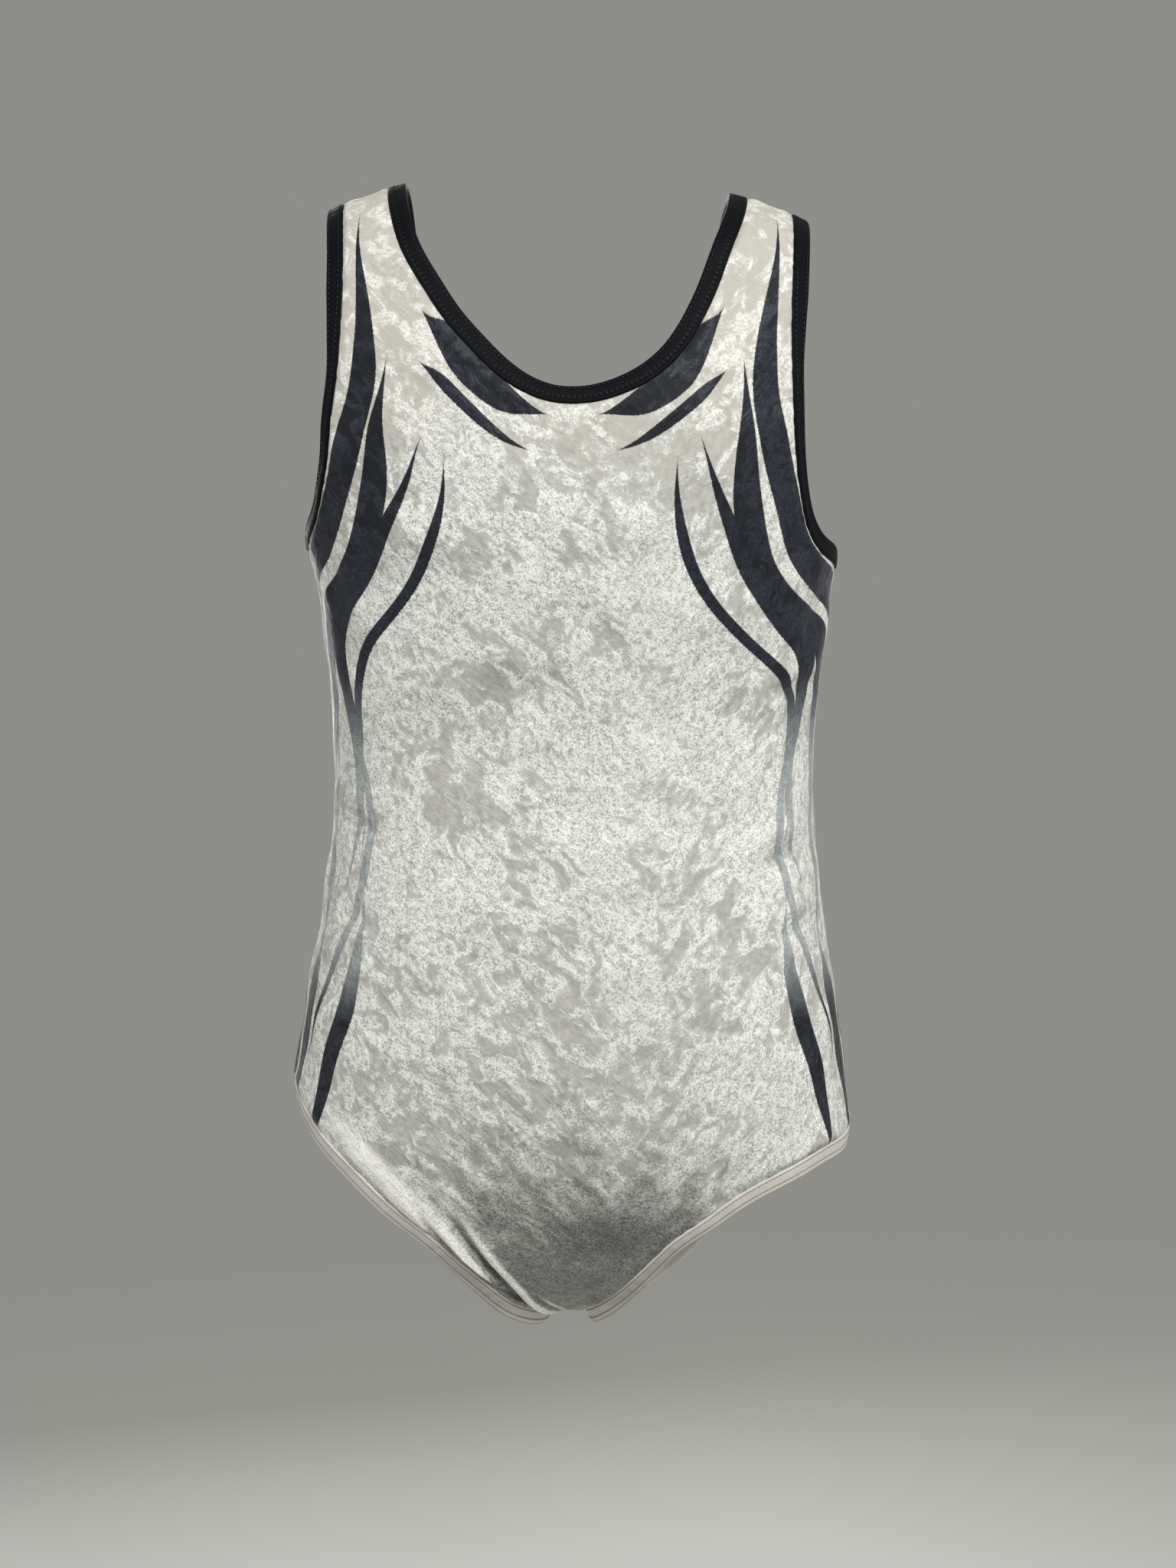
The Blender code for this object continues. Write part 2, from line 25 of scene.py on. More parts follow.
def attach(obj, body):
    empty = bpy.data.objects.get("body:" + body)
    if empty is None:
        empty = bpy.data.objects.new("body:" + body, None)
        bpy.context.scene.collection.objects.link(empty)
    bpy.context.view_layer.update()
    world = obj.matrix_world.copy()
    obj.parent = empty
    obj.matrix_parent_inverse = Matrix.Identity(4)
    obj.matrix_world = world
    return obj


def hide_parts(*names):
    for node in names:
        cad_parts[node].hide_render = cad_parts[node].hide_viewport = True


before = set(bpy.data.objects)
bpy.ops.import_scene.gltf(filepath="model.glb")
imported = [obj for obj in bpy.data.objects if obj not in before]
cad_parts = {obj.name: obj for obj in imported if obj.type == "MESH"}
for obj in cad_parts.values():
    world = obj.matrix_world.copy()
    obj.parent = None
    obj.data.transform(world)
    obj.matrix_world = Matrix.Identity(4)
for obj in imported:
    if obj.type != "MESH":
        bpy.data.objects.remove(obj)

LOG = logging.getLogger("leotard")
METRES_PER_MM = 0.001
MM_PER_METRE = 1000.0
BODY = "root"
SEAM_ANGLE = 90.0

Array = np.ndarray
Row = tuple[float, float]
Point = tuple[float, float, float]
Tone = tuple[int, int, int]
Colour = tuple[float, float, float, float]
Quads = list[tuple[int, ...]]
Socket = bpy.types.NodeSocket


class Face(Enum):
    """The two faces of the body."""

    FRONT = "front"
    BACK = "back"

    @property
    def sign(self) -> float:
        """Return 1 on the front, which faces -Y, and -1 on the back."""
        return 1.0 if self is Face.FRONT else -1.0


class Side(Enum):
    """The wearer's right and left."""

    RIGHT = "right"
    LEFT = "left"

    @property
    def sign(self) -> float:
        """Return the sign of X on this side."""
        return -1.0 if self is Side.RIGHT else 1.0


class Edge(Enum):
    """The kinds of edge that a panel has."""

    NECK = "neck"
    ARMHOLE = "armhole"
    LEG = "leg"
    SEAM = "seam"


class Slot(Enum):
    """The material slots that the pieces are finished in."""

    VELVET = "crushed_velvet"
    DARK = "dark_binding"
    CREAM = "cream_binding"


class Section(NamedTuple):
    """Half widths and depths of the figure at one level."""

    level: float
    right_half: float
    left_half: float
    front_depth: float
    back_depth: float


class Crease(NamedTuple):
    """A trough, or with a depth below 0 a ridge, along a bowed line. Its ends give an X and a level."""

    face: Face
    start: Row
    end: Row
    bow: float
    half_width: float
    depth: float


def smooth_curve(knots: Sequence[float], values: Sequence[float]) -> Callable[[Array], Array]:
    """Make a natural cubic curve.

    Args:
        knots: Rising places.
        values: One value for each knot.

    Returns:
        A function that runs smoothly through the values.
    """
    knots = np.asarray(knots, float)
    values = np.asarray(values, float)
    steps = np.diff(knots)
    slopes = np.diff(values) / steps
    count = len(knots)
    system = np.eye(count)
    target = np.zeros(count)
    for row in range(1, count - 1):
        system[row, row - 1] = steps[row - 1]
        system[row, row] = 2.0 * (steps[row - 1] + steps[row])
        system[row, row + 1] = steps[row]
        target[row] = 6.0 * (slopes[row] - slopes[row - 1])
    bends = np.linalg.solve(system, target)

    def at(place: Array) -> Array:
        """Return the curve's values at places."""
        place = np.clip(np.asarray(place, float), knots[0], knots[-1])
        piece = np.clip(np.searchsorted(knots, place, side="right") - 1, 0, count - 2)
        width = steps[piece]
        past = place - knots[piece]
        left = knots[piece + 1] - place
        curved = (bends[piece] * left ** 3 + bends[piece + 1] * past ** 3) / (6.0 * width)
        from_left = (values[piece] / width - bends[piece] * width / 6.0) * left
        from_right = (values[piece + 1] / width - bends[piece + 1] * width / 6.0) * past
        return curved + from_left + from_right

    return at


def smooth_step(share: Array) -> Array:
    """Return 0 below 0, 1 above 1, and a soft ramp between."""
    share = np.clip(share, 0.0, 1.0)
    return share * share * (3.0 - 2.0 * share)


def unit(vectors: Array) -> Array:
    """Return vectors of length 1 in the same directions."""
    return vectors / np.linalg.norm(vectors, axis=-1, keepdims=True)


def travelled(points: Array) -> Array:
    """Return how far along a line of points each of them lies."""
    return np.concatenate([[0.0], np.cumsum(np.linalg.norm(np.diff(points, axis=0), axis=1))])


@dataclass(frozen=True)
class Figure:
    """The general figure that the cloth follows, the same as in the solids."""

    sections: tuple[Section, ...] = (
        Section(-600.0, 131.0, 131.0, 82.0, 88.0),
        Section(-500.0, 133.0, 133.0, 84.0, 91.0),
        Section(-450.0, 134.2, 134.2, 86.0, 92.0),
        Section(-420.0, 133.0, 131.8, 87.0, 91.0),
        Section(-390.0, 128.6, 127.6, 86.0, 87.0),
        Section(-360.0, 123.2, 122.8, 84.0, 81.0),
        Section(-330.0, 117.7, 118.6, 81.5, 75.0),
        Section(-300.0, 113.9, 115.8, 79.0, 70.5),
        Section(-275.0, 112.5, 114.7, 78.0, 68.5),
        Section(-245.0, 113.8, 116.3, 79.5, 70.0),
        Section(-215.0, 117.0, 119.8, 83.0, 73.5),
        Section(-190.0, 119.7, 122.6, 86.0, 77.0),
        Section(-165.0, 126.0, 127.4, 88.0, 79.5),
        Section(-140.0, 134.5, 134.5, 87.5, 80.5),
        Section(-110.0, 147.0, 147.0, 84.0, 79.5),
        Section(-80.0, 158.5, 158.5, 77.5, 76.0),
        Section(-50.0, 165.5, 165.5, 69.0, 70.0),
        Section(-25.0, 168.0, 168.0, 63.5, 65.0),
        Section(0.0, 168.0, 168.0, 60.0, 62.0),
        Section(40.0, 168.0, 168.0, 58.0, 60.0),
    )
    roundness: float = 2.35
    crotch_height: float = -538.5
    front_turn: float = 92.0
    back_turn: float = 74.0
    crotch_droop: float = 4.0
    droop_reach: float = 23.0
    droop_start: float = 0.6
    shoulder_turn: float = 45.0
    right_ridge: float = -4.2
    left_ridge: float = -9.5
    ridge_inner_x: float = 82.0
    ridge_slope: float = 0.34
    angle_step: float = 0.5
    level_step: float = 0.5

    def size(self, name: str, level: Array) -> Array:
        """Return a half width or a depth, by the name of its column, at levels."""
        levels = [section.level for section in self.sections]
        return smooth_curve(levels, [getattr(section, name) for section in self.sections])(level)

    def turn(self, face: Face) -> float:
        """Return the height of the turn under the crotch on a face."""
        return self.front_turn if face is Face.FRONT else self.back_turn

    def crotch_level(self, face: Face) -> float:
        """Return the level of the crotch seam on a face."""
        turn = self.turn(face)
        return self.crotch_height + turn - turn * math.pi / 2.0

    def ridge(self, x: Array) -> Array:
        """Return the height of the shoulder ridge at distances from the centre."""
        inner = np.where(x < 0.0, self.right_ridge, self.left_ridge)
        return inner - self.ridge_slope * (np.abs(x) - self.ridge_inner_x)

    def shoulder_level(self, side: Side, angle: float) -> float:
        """Return the level of the shoulder seam at an angle on one side."""
        half = float(self.size(side.value + "_half", 0.0))
        x = side.sign * half * math.sin(math.radians(angle)) ** (2.0 / self.roundness)
        return float(self.ridge(np.array(x))) - self.shoulder_turn + self.shoulder_turn * math.pi / 2.0

    def point(self, face: Face, places: Array) -> Array:
        """Return points of the figure.

        Args:
            face: The face that the places are on.
            places: Angles and levels, on the last axis.

        Returns:
            Points, with X, Y and Z on the last axis.
        """
        angle = np.radians(places[..., 0])
        level = places[..., 1]
        power = 2.0 / self.roundness
        half = np.where(angle < 0.0, self.size("right_half", level), self.size("left_half", level))
        x = half * np.sign(angle) * np.abs(np.sin(angle)) ** power
        facing = np.cos(angle)
        depth = self.size(face.value + "_depth", level) * np.sign(facing) * np.abs(facing) ** power

        turn = self.turn(face)
        under = np.maximum(self.crotch_height + turn - level, 0.0) / turn
        shoulder_start = self.ridge(x) - self.shoulder_turn
        over = np.maximum(level - shoulder_start, 0.0) / self.shoulder_turn
        height = np.where(under > 0.0, self.crotch_height + turn - turn * np.sin(under), level)
        height = np.where(over > 0.0, shoulder_start + self.shoulder_turn * np.sin(over), height)
        droop = smooth_step((under - self.droop_start) / (math.pi / 2.0 - self.droop_start))
        height = height - self.crotch_droop * (1.0 - np.exp(-(x / self.droop_reach) ** 2)) * droop
        return np.stack([x, -face.sign * depth * np.cos(under) * np.cos(over), height], axis=-1)

    def outward(self, face: Face, places: Array) -> Array:
        """Return the outward directions of the figure at places on a face."""
        turn = np.array([self.angle_step, 0.0])
        climb = np.array([0.0, self.level_step])
        across = self.point(face, places + turn) - self.point(face, places - turn)
        along = self.point(face, places + climb) - self.point(face, places - climb)
        return unit(face.sign * np.cross(across, along))


@dataclass(frozen=True)
class Cut:
    """The edges of the cut pieces on the figure. A row is an angle and a level.

    They are the solids' own, but for the crotch, where the sewn cloth is gathered: 5 mm narrower on the
    right and 7 mm on the left.
    """

    figure: Figure
    hip_level: dict[Side, float] = field(default_factory=lambda: {Side.RIGHT: -424.0, Side.LEFT: -447.5})
    underarm_level: dict[Side, float] = field(default_factory=lambda: {Side.RIGHT: -172.0, Side.LEFT: -180.5})
    neck_level: dict[Face, float] = field(default_factory=lambda: {Face.FRONT: -108.8, Face.BACK: -107.0})
    neck_angle: dict[Side, float] = field(default_factory=lambda: {Side.RIGHT: 26.6, Side.LEFT: 25.3})
    arm_angle: dict[Side, float] = field(default_factory=lambda: {Side.RIGHT: 35.6, Side.LEFT: 34.2})
    crotch_half_width: dict[Side, float] = field(default_factory=lambda: {Side.RIGHT: 8.2, Side.LEFT: 6.2})
    curve_samples: int = 1600
    leg_rows: dict[tuple[Face, Side], tuple[Row, ...]] = field(default_factory=lambda: {
        (Face.FRONT, Side.RIGHT): (
            (82.0, -425.6), (73.0, -429.0), (65.0, -435.0), (56.0, -443.8), (47.0, -453.2), (41.0, -461.3),
            (33.0, -473.7), (26.0, -485.3), (19.6, -501.5), (13.7, -520.3), (9.3, -539.0), (6.0, -553.0),
            (3.2, -570.0),
        ),
        (Face.FRONT, Side.LEFT): (
            (80.0, -447.6), (70.0, -448.0), (59.0, -449.0), (48.0, -453.2), (37.0, -459.4), (29.5, -466.4),
            (22.5, -476.9), (16.4, -487.9), (12.2, -501.1), (8.6, -516.0), (4.6, -536.0), (2.1, -556.0),
        ),
        (Face.BACK, Side.RIGHT): (
            (82.0, -425.6), (72.0, -430.5), (61.0, -443.0), (49.0, -465.0), (37.0, -492.0),
            (26.0, -518.0), (16.5, -541.0), (8.0, -559.0), (3.4, -571.0),
        ),
        (Face.BACK, Side.LEFT): (
            (82.0, -449.0), (72.0, -454.0), (61.0, -464.0), (49.0, -481.0), (37.0, -502.0),
            (26.0, -523.0), (16.5, -543.0), (7.6, -560.0), (2.6, -571.0),
        ),
    })
    arm_rows: dict[tuple[Face, Side], tuple[Row, ...]] = field(default_factory=lambda: {
        (Face.FRONT, Side.RIGHT): (
            (84.0, -171.2), (74.0, -166.8), (64.0, -159.0), (55.8, -145.4), (50.0, -132.1), (46.0, -118.8),
            (40.5, -98.8), (37.0, -78.7), (35.0, -58.4), (34.3, -36.5), (35.0, -8.0),
        ),
        (Face.FRONT, Side.LEFT): (
            (84.0, -179.8), (73.0, -177.2), (61.0, -172.0), (53.0, -162.0), (48.0, -149.0), (44.0, -135.6),
            (40.0, -118.9), (36.4, -98.8), (34.0, -78.6), (32.9, -58.1), (32.9, -34.9), (33.7, -8.0),
        ),
        (Face.BACK, Side.RIGHT): (
            (84.0, -171.2), (72.0, -165.0), (60.0, -152.0), (50.5, -135.0), (43.5, -117.0),
            (38.4, -95.0), (35.4, -72.0), (34.4, -45.0), (35.0, -8.0),
        ),
        (Face.BACK, Side.LEFT): (
            (84.0, -179.8), (72.0, -173.5), (60.0, -160.0), (50.0, -141.0), (42.8, -121.0),
            (37.4, -97.0), (34.4, -73.0), (33.0, -45.0), (33.6, -8.0),
        ),
    })
    neck_rows: dict[tuple[Face, Side], tuple[Row, ...]] = field(default_factory=lambda: {
        (Face.FRONT, Side.RIGHT): (
            (3.2, -107.3), (6.4, -103.0), (10.5, -93.5), (13.7, -83.2), (17.0, -71.2), (19.9, -57.5),
            (22.9, -42.0), (24.8, -25.0), (26.0, -5.0),
        ),
        (Face.FRONT, Side.LEFT): (
            (3.2, -107.3), (7.6, -102.2), (12.0, -93.4), (14.7, -84.2), (16.9, -72.7), (18.9, -58.9),
            (20.9, -41.6), (23.0, -25.0), (24.6, -5.0),
        ),
        (Face.BACK, Side.RIGHT): (
            (3.2, -105.2), (8.0, -101.5), (13.5, -92.5), (18.2, -80.0), (21.8, -65.0), (24.4, -47.0),
            (25.8, -27.0), (26.3, -5.0),
        ),
        (Face.BACK, Side.LEFT): (
            (3.2, -105.2), (8.0, -101.5), (13.2, -92.5), (17.4, -80.0), (20.6, -65.0), (22.8, -47.0),
            (24.1, -27.0), (24.9, -5.0),
        ),
    })

    def even(self, face: Face, rows: Sequence[Row], count: int) -> Array:
        """Space places evenly along a smooth edge.

        Args:
            face: The face that the edge is on.
            rows: Signed angles and levels that the edge runs through.
            count: The number of steps.

        Returns:
            One more place than there are steps.
        """
        table = np.asarray(rows, float)
        reach = travelled(self.figure.point(face, table))
        fine_reach = np.linspace(0.0, reach[-1], self.curve_samples)
        fine = np.stack([smooth_curve(reach, column)(fine_reach) for column in table.T], axis=-1)
        gone = travelled(self.figure.point(face, fine))
        stops = np.linspace(0.0, gone[-1], count + 1)
        return np.stack([np.interp(stops, gone, column) for column in fine.T], axis=-1)

    @staticmethod
    def signed(side: Side, rows: Sequence[Row]) -> list[Row]:
        """Return rows with the angles signed for a side."""
        return [(side.sign * angle, level) for angle, level in rows]

    def leg(self, face: Face, side: Side, count: int) -> Array:
        """Return the leg edge of one half, from the crotch seam to the hip."""
        level = self.figure.crotch_level(face)
        share = self.crotch_half_width[side] / float(self.figure.size(side.value + "_half", level))
        angle = math.degrees(math.asin(share ** (self.figure.roundness / 2.0)))
        rows = ((SEAM_ANGLE, self.hip_level[side]),) + self.leg_rows[face, side] + ((angle, level),)
        return self.even(face, self.signed(side, rows), count)[::-1]

    def side_seam(self, side: Side, count: int) -> Array:
        """Return the side seam of one side, from the hip to the underarm."""
        levels = np.linspace(self.hip_level[side], self.underarm_level[side], count + 1)
        return np.stack([np.full(count + 1, side.sign * SEAM_ANGLE), levels], axis=-1)

    def arm(self, face: Face, side: Side, count: int) -> Array:
        """Return the armhole edge of one half, from the underarm to the shoulder seam."""
        end = (self.arm_angle[side], self.figure.shoulder_level(side, self.arm_angle[side]))
        rows = ((SEAM_ANGLE, self.underarm_level[side]),) + self.arm_rows[face, side] + (end,)
        return self.even(face, self.signed(side, rows), count)

    def neck(self, face: Face, count: int) -> Array:
        """Return the whole neck edge of a face, from the right shoulder seam to the left."""
        halves = {}
        for side in Side:
            angle = self.neck_angle[side]
            end = (angle, self.figure.shoulder_level(side, angle))
            halves[side] = self.signed(side, self.neck_rows[face, side] + (end,))
        rows = halves[Side.RIGHT][::-1] + [(0.0, self.neck_level[face])] + halves[Side.LEFT]
        return self.even(face, rows, count)

    def half_neck(self, face: Face, side: Side, count: int) -> Array:
        """Return the neck edge of one half, from the centre line to the shoulder seam."""
        whole = self.neck(face, self.curve_samples)
        middle = int(np.argmin(np.abs(whole[:, 0])))
        half = whole[middle:].copy() if side is Side.LEFT else whole[middle::-1].copy()
        half[0] = (0.0, self.neck_level[face])
        stops = np.linspace(0.0, len(half) - 1.0, count + 1)
        return np.stack([np.interp(stops, np.arange(len(half)), column) for column in half.T], axis=-1)

    def shoulder_seam(self, side: Side, count: int) -> Array:
        """Return the shoulder seam of one side, from the neck to the armhole."""
        angles = np.linspace(self.neck_angle[side], self.arm_angle[side], count + 1)
        return np.array([(side.sign * angle, self.figure.shoulder_level(side, angle)) for angle in angles])

    def crotch_seam(self, face: Face, count: int) -> Array:
        """Return the crotch seam, from the right leg to the left."""
        right = self.leg(face, Side.RIGHT, 1)[0]
        left = self.leg(face, Side.LEFT, 1)[0]
        share = np.linspace(0.0, 1.0, count + 1)[:, None]
        return right + (left - right) * share


@dataclass(frozen=True)
class Drape:
    """How the cloth lies off the figure: its creases, its unevenness, and its puckers beside the edges."""

    creases: tuple[Crease, ...] = (
        Crease(Face.FRONT, (-74.0, -468.0), (0.0, -574.0), 0.0, 2.1, 3.2),
        Crease(Face.FRONT, (-58.0, -472.0), (-3.0, -582.0), 2.0, 2.5, 3.8),
        Crease(Face.FRONT, (-21.0, -525.0), (-2.0, -566.0), 0.0, 1.9, 2.0),
        Crease(Face.FRONT, (-118.0, -424.0), (-38.0, -508.0), 0.0, 5.4, -1.7),
        Crease(Face.FRONT, (15.0, -535.0), (7.0, -563.0), 1.0, 2.2, 1.2),
        Crease(Face.FRONT, (33.0, -500.0), (17.0, -541.0), 1.5, 2.6, 0.6),
        Crease(Face.FRONT, (80.0, -318.0), (112.0, -308.0), 3.0, 5.5, 1.6),
        Crease(Face.FRONT, (84.0, -346.0), (114.0, -340.0), -3.0, 5.0, 1.3),
        Crease(Face.FRONT, (-112.0, -296.0), (-78.0, -304.0), 3.0, 6.0, 1.1),
        Crease(Face.FRONT, (-114.0, -338.0), (-84.0, -346.0), 2.0, 4.6, 0.8),
        Crease(Face.FRONT, (-96.0, -389.0), (-58.0, -401.0), 2.0, 3.4, 0.7),
        Crease(Face.FRONT, (-40.0, -397.0), (-12.0, -418.0), 2.0, 3.0, 0.55),
        Crease(Face.FRONT, (-12.0, -419.0), (14.0, -430.0), -1.0, 3.2, 0.6),
        Crease(Face.FRONT, (36.0, -436.0), (66.0, -452.0), 2.0, 3.0, 0.55),
        Crease(Face.FRONT, (40.0, -380.0), (86.0, -390.0), -3.0, 3.6, 0.6),
        Crease(Face.FRONT, (-70.0, -430.0), (-34.0, -455.0), 3.0, 3.6, 0.7),
        Crease(Face.FRONT, (-84.0, -444.0), (-56.0, -468.0), 2.0, 3.2, 0.6),
        Crease(Face.FRONT, (-30.0, -262.0), (24.0, -270.0), -4.0, 5.0, 0.5),
        Crease(Face.FRONT, (4.0, -330.0), (62.0, -338.0), 4.0, 5.0, 0.45),
        Crease(Face.FRONT, (-72.0, -348.0), (-14.0, -356.0), -3.0, 4.4, 0.45),
        Crease(Face.FRONT, (-112.0, -172.0), (-102.0, -214.0), 2.0, 3.2, 1.1),
        Crease(Face.FRONT, (-119.0, -186.0), (-113.0, -236.0), 1.0, 3.0, 0.9),
        Crease(Face.FRONT, (116.0, -190.0), (104.0, -232.0), -2.0, 3.4, 1.0),
        Crease(Face.FRONT, (84.0, -240.0), (116.0, -232.0), 2.0, 3.2, 0.8),
        Crease(Face.BACK, (-60.0, -508.0), (-18.0, -556.0), 5.0, 4.2, 2.0),
        Crease(Face.BACK, (64.0, -510.0), (20.0, -558.0), -4.0, 4.0, 1.8),
        Crease(Face.BACK, (-38.0, -506.0), (-10.0, -556.0), 3.0, 3.0, 1.1),
        Crease(Face.BACK, (-70.0, -306.0), (46.0, -298.0), -8.0, 7.0, 1.8),
        Crease(Face.BACK, (-34.0, -330.0), (88.0, -340.0), 7.0, 7.5, 1.6),
        Crease(Face.BACK, (-96.0, -352.0), (-30.0, -346.0), 4.0, 6.5, 1.2),
        Crease(Face.BACK, (20.0, -372.0), (84.0, -380.0), 4.0, 4.5, 0.7),
        Crease(Face.BACK, (-88.0, -276.0), (-40.0, -270.0), 3.0, 4.0, 0.8),
        Crease(Face.BACK, (52.0, -262.0), (104.0, -272.0), -3.0, 4.4, 0.8),
        Crease(Face.BACK, (-112.0, -176.0), (-100.0, -220.0), 2.0, 3.4, 1.0),
        Crease(Face.BACK, (114.0, -188.0), (102.0, -236.0), -2.0, 3.4, 1.0),
        Crease(Face.BACK, (-26.0, -150.0), (30.0, -158.0), 4.0, 5.0, 0.6),
    )
    sharpness: float = 1.6
    lip: float = 0.45
    lip_place: float = 1.9
    end_power: float = 0.7
    waves: int = 26
    wave_lengths: Row = (22.0, 60.0)
    wave_height: float = 0.11
    wave_spread: Point = (0.6, 0.6, 1.0)
    dip: float = 0.55
    dip_reach: float = 1.6
    puff: float = 0.4
    puff_place: float = 4.6
    puff_reach: float = 2.6
    pucker_height: dict[Edge, float] = field(default_factory=lambda: {
        Edge.NECK: 0.16, Edge.ARMHOLE: 0.24, Edge.LEG: 0.28, Edge.SEAM: 0.26,
    })
    pucker_reach: float = 7.0
    pucker_length: float = 8.5
    pucker_wander: float = 1.7
    wander_rate: float = 0.23
    pucker_swell: float = 0.4
    swell_rate: float = 0.37
    seed: int = 11

    def crease_lift(self, face: Face, x: Array, level: Array) -> Array:
        """Return how far the creases move the cloth outwards at places on a face."""
        lift = np.zeros(np.shape(x))
        for crease in self.creases:
            if crease.face is not face:
                continue
            start = np.array(crease.start)
            run = np.array(crease.end) - start
            length = float(np.linalg.norm(run))
            run = run / length
            reached = np.stack([x, level], axis=-1) - start
            share = reached @ run / length
            aside = reached @ np.array([-run[1], run[0]]) - crease.bow * 4.0 * share * (1.0 - share)
            fade = np.sin(np.pi * np.clip(share, 0.0, 1.0)) ** self.end_power
            place = np.abs(aside) / crease.half_width
            lip = self.lip * np.exp(-(place - self.lip_place) ** 2) * (crease.depth > 0.0)
            lift = lift + crease.depth * fade * (lip - np.exp(-place ** self.sharpness))
        return lift

    def unevenness(self, points: Array) -> Array:
        """Return a faint wave height at points, the sum of seeded waves in many directions."""
        draws = np.random.default_rng(self.seed)
        lift = np.zeros(len(points))
        for _ in range(self.waves):
            direction = unit(draws.normal(size=3) * np.array(self.wave_spread))
            length = draws.uniform(*self.wave_lengths)
            phase = draws.uniform(0.0, 2.0 * math.pi)
            lift += np.sin(points @ direction * 2.0 * math.pi / length + phase)
        return lift * self.wave_height

    def edge_lift(self, kind: Edge, distance: Array, along: Array) -> Array:
        """Return how the cloth sinks at an edge, swells beside it and puckers along it.

        Args:
            kind: The kind of edge.
            distance: How far each point lies from the edge.
            along: How far along the edge each point lies.

        Returns:
            The lift at each point.
        """
        sink = -self.dip * np.exp(-(distance / self.dip_reach) ** 2)
        swell = self.puff * np.exp(-((distance - self.puff_place) / self.puff_reach) ** 2)
        turn = 2.0 * math.pi * along / self.pucker_length
        ripple = np.sin(turn + self.pucker_wander * np.sin(turn * self.wander_rate))
        ripple *= 1.0 - self.pucker_swell + self.pucker_swell * np.sin(turn * self.swell_rate + 1.0)
        pucker = self.pucker_height[kind] * ripple * np.exp(-distance / self.pucker_reach)
        return sink + swell + pucker


@dataclass
class Border:
    """A line of points along an edge, which tells how far other points lie from it."""

    points: Array

    def __post_init__(self) -> None:
        """Sort the points into a tree, and measure along them."""
        self.along = travelled(self.points)
        self.tree = kdtree.KDTree(len(self.points))
        for index, point in enumerate(self.points):
            self.tree.insert(point, index)
        self.tree.balance()

    def measure(self, points: Array) -> tuple[Array, Array]:
        """Return how far each point lies from the edge, and how far along it."""
        found = [self.tree.find(point) for point in points]
        distance = np.array([row[2] for row in found])
        return distance, self.along[[row[1] for row in found]]


@dataclass(frozen=True)
class Weave:
    """How finely the panels are divided, and how their rows run."""

    columns: int = 64
    leg_rows: int = 120
    side_rows: int = 92
    underarm_rows: int = 34
    strap_rows: int = 60
    hip_arch: float = 70.0
    centre_level: float = -215.0
    first_share: float = 0.65
    neck_bend: float = 0.3


def new_mesh_object(name: str, vertices: Array, faces: Sequence[Sequence[int]]) -> bpy.types.Object:
    """Make a smooth mesh object in metres, with its place in its mesh.

    Args:
        name: The object's name.
        vertices: Points in millimetres.
        faces: The point numbers of each face.

    Returns:
        The new object.
    """
    mesh = bpy.data.meshes.new(name)
    mesh.from_pydata((np.asarray(vertices) * METRES_PER_MM).tolist(), [], [tuple(face) for face in faces])
    mesh.shade_smooth()
    made = bpy.data.objects.new(name, mesh)
    bpy.context.collection.objects.link(made)
    return made


def select_only(*pieces: bpy.types.Object) -> None:
    """Select some objects and no others, and make the last of them the active one."""
    for other in bpy.context.selected_objects:
        other.select_set(False)
    for piece in pieces:
        piece.select_set(True)
        bpy.context.view_layer.objects.active = piece


def apply_modifier(piece: bpy.types.Object, kind: str, **settings: float) -> None:
    """Add a modifier to a piece and apply it.

    Args:
        piece: The object to change.
        kind: The modifier's type.
        settings: Values for the modifier's own properties.
    """
    modifier = piece.modifiers.new(kind.lower(), kind)
    for key, value in settings.items():
        setattr(modifier, key, value)
    select_only(piece)
    bpy.ops.object.modifier_apply(modifier=modifier.name)


def join_pieces(target: bpy.types.Object, others: Sequence[bpy.types.Object]) -> None:
    """Join other objects into a target."""
    select_only(*others, target)
    bpy.ops.object.join()


def recalculate_normals(piece: bpy.types.Object) -> None:
    """Turn all faces of a closed piece outwards."""
    select_only(piece)
    bpy.ops.object.mode_set(mode="EDIT")
    bpy.ops.mesh.select_all(action="SELECT")
    bpy.ops.mesh.normals_make_consistent(inside=False)
    bpy.ops.object.mode_set(mode="OBJECT")


def store_marks(piece: bpy.types.Object, marks: dict[str, Array]) -> None:
    """Store numbers at the points of a piece, under the names by which its finish reads them."""
    for name, values in marks.items():
        attribute = piece.data.attributes.new(name, "FLOAT", "POINT")
        attribute.data.foreach_set("value", values.astype(np.float32))


def sweep(rings: Array, closed: bool) -> tuple[Array, Quads]:
    """Join rings of points into a tube.

    Args:
        rings: Points by ring and by corner.
        closed: Whether the last ring meets the first. Otherwise the ends are capped.

    Returns:
        The points and the faces.
    """
    total, size = rings.shape[:2]
    faces = []
    for ring in range(total if closed else total - 1):
        following = (ring + 1) % total
        for corner in range(size):
            beside = (corner + 1) % size
            faces.append((ring * size + corner, ring * size + beside, following * size + beside,
                          following * size + corner))
    if not closed:
        faces.append(tuple(reversed(range(size))))
        faces.append(tuple((total - 1) * size + corner for corner in range(size)))
    return rings.reshape(-1, 3), faces


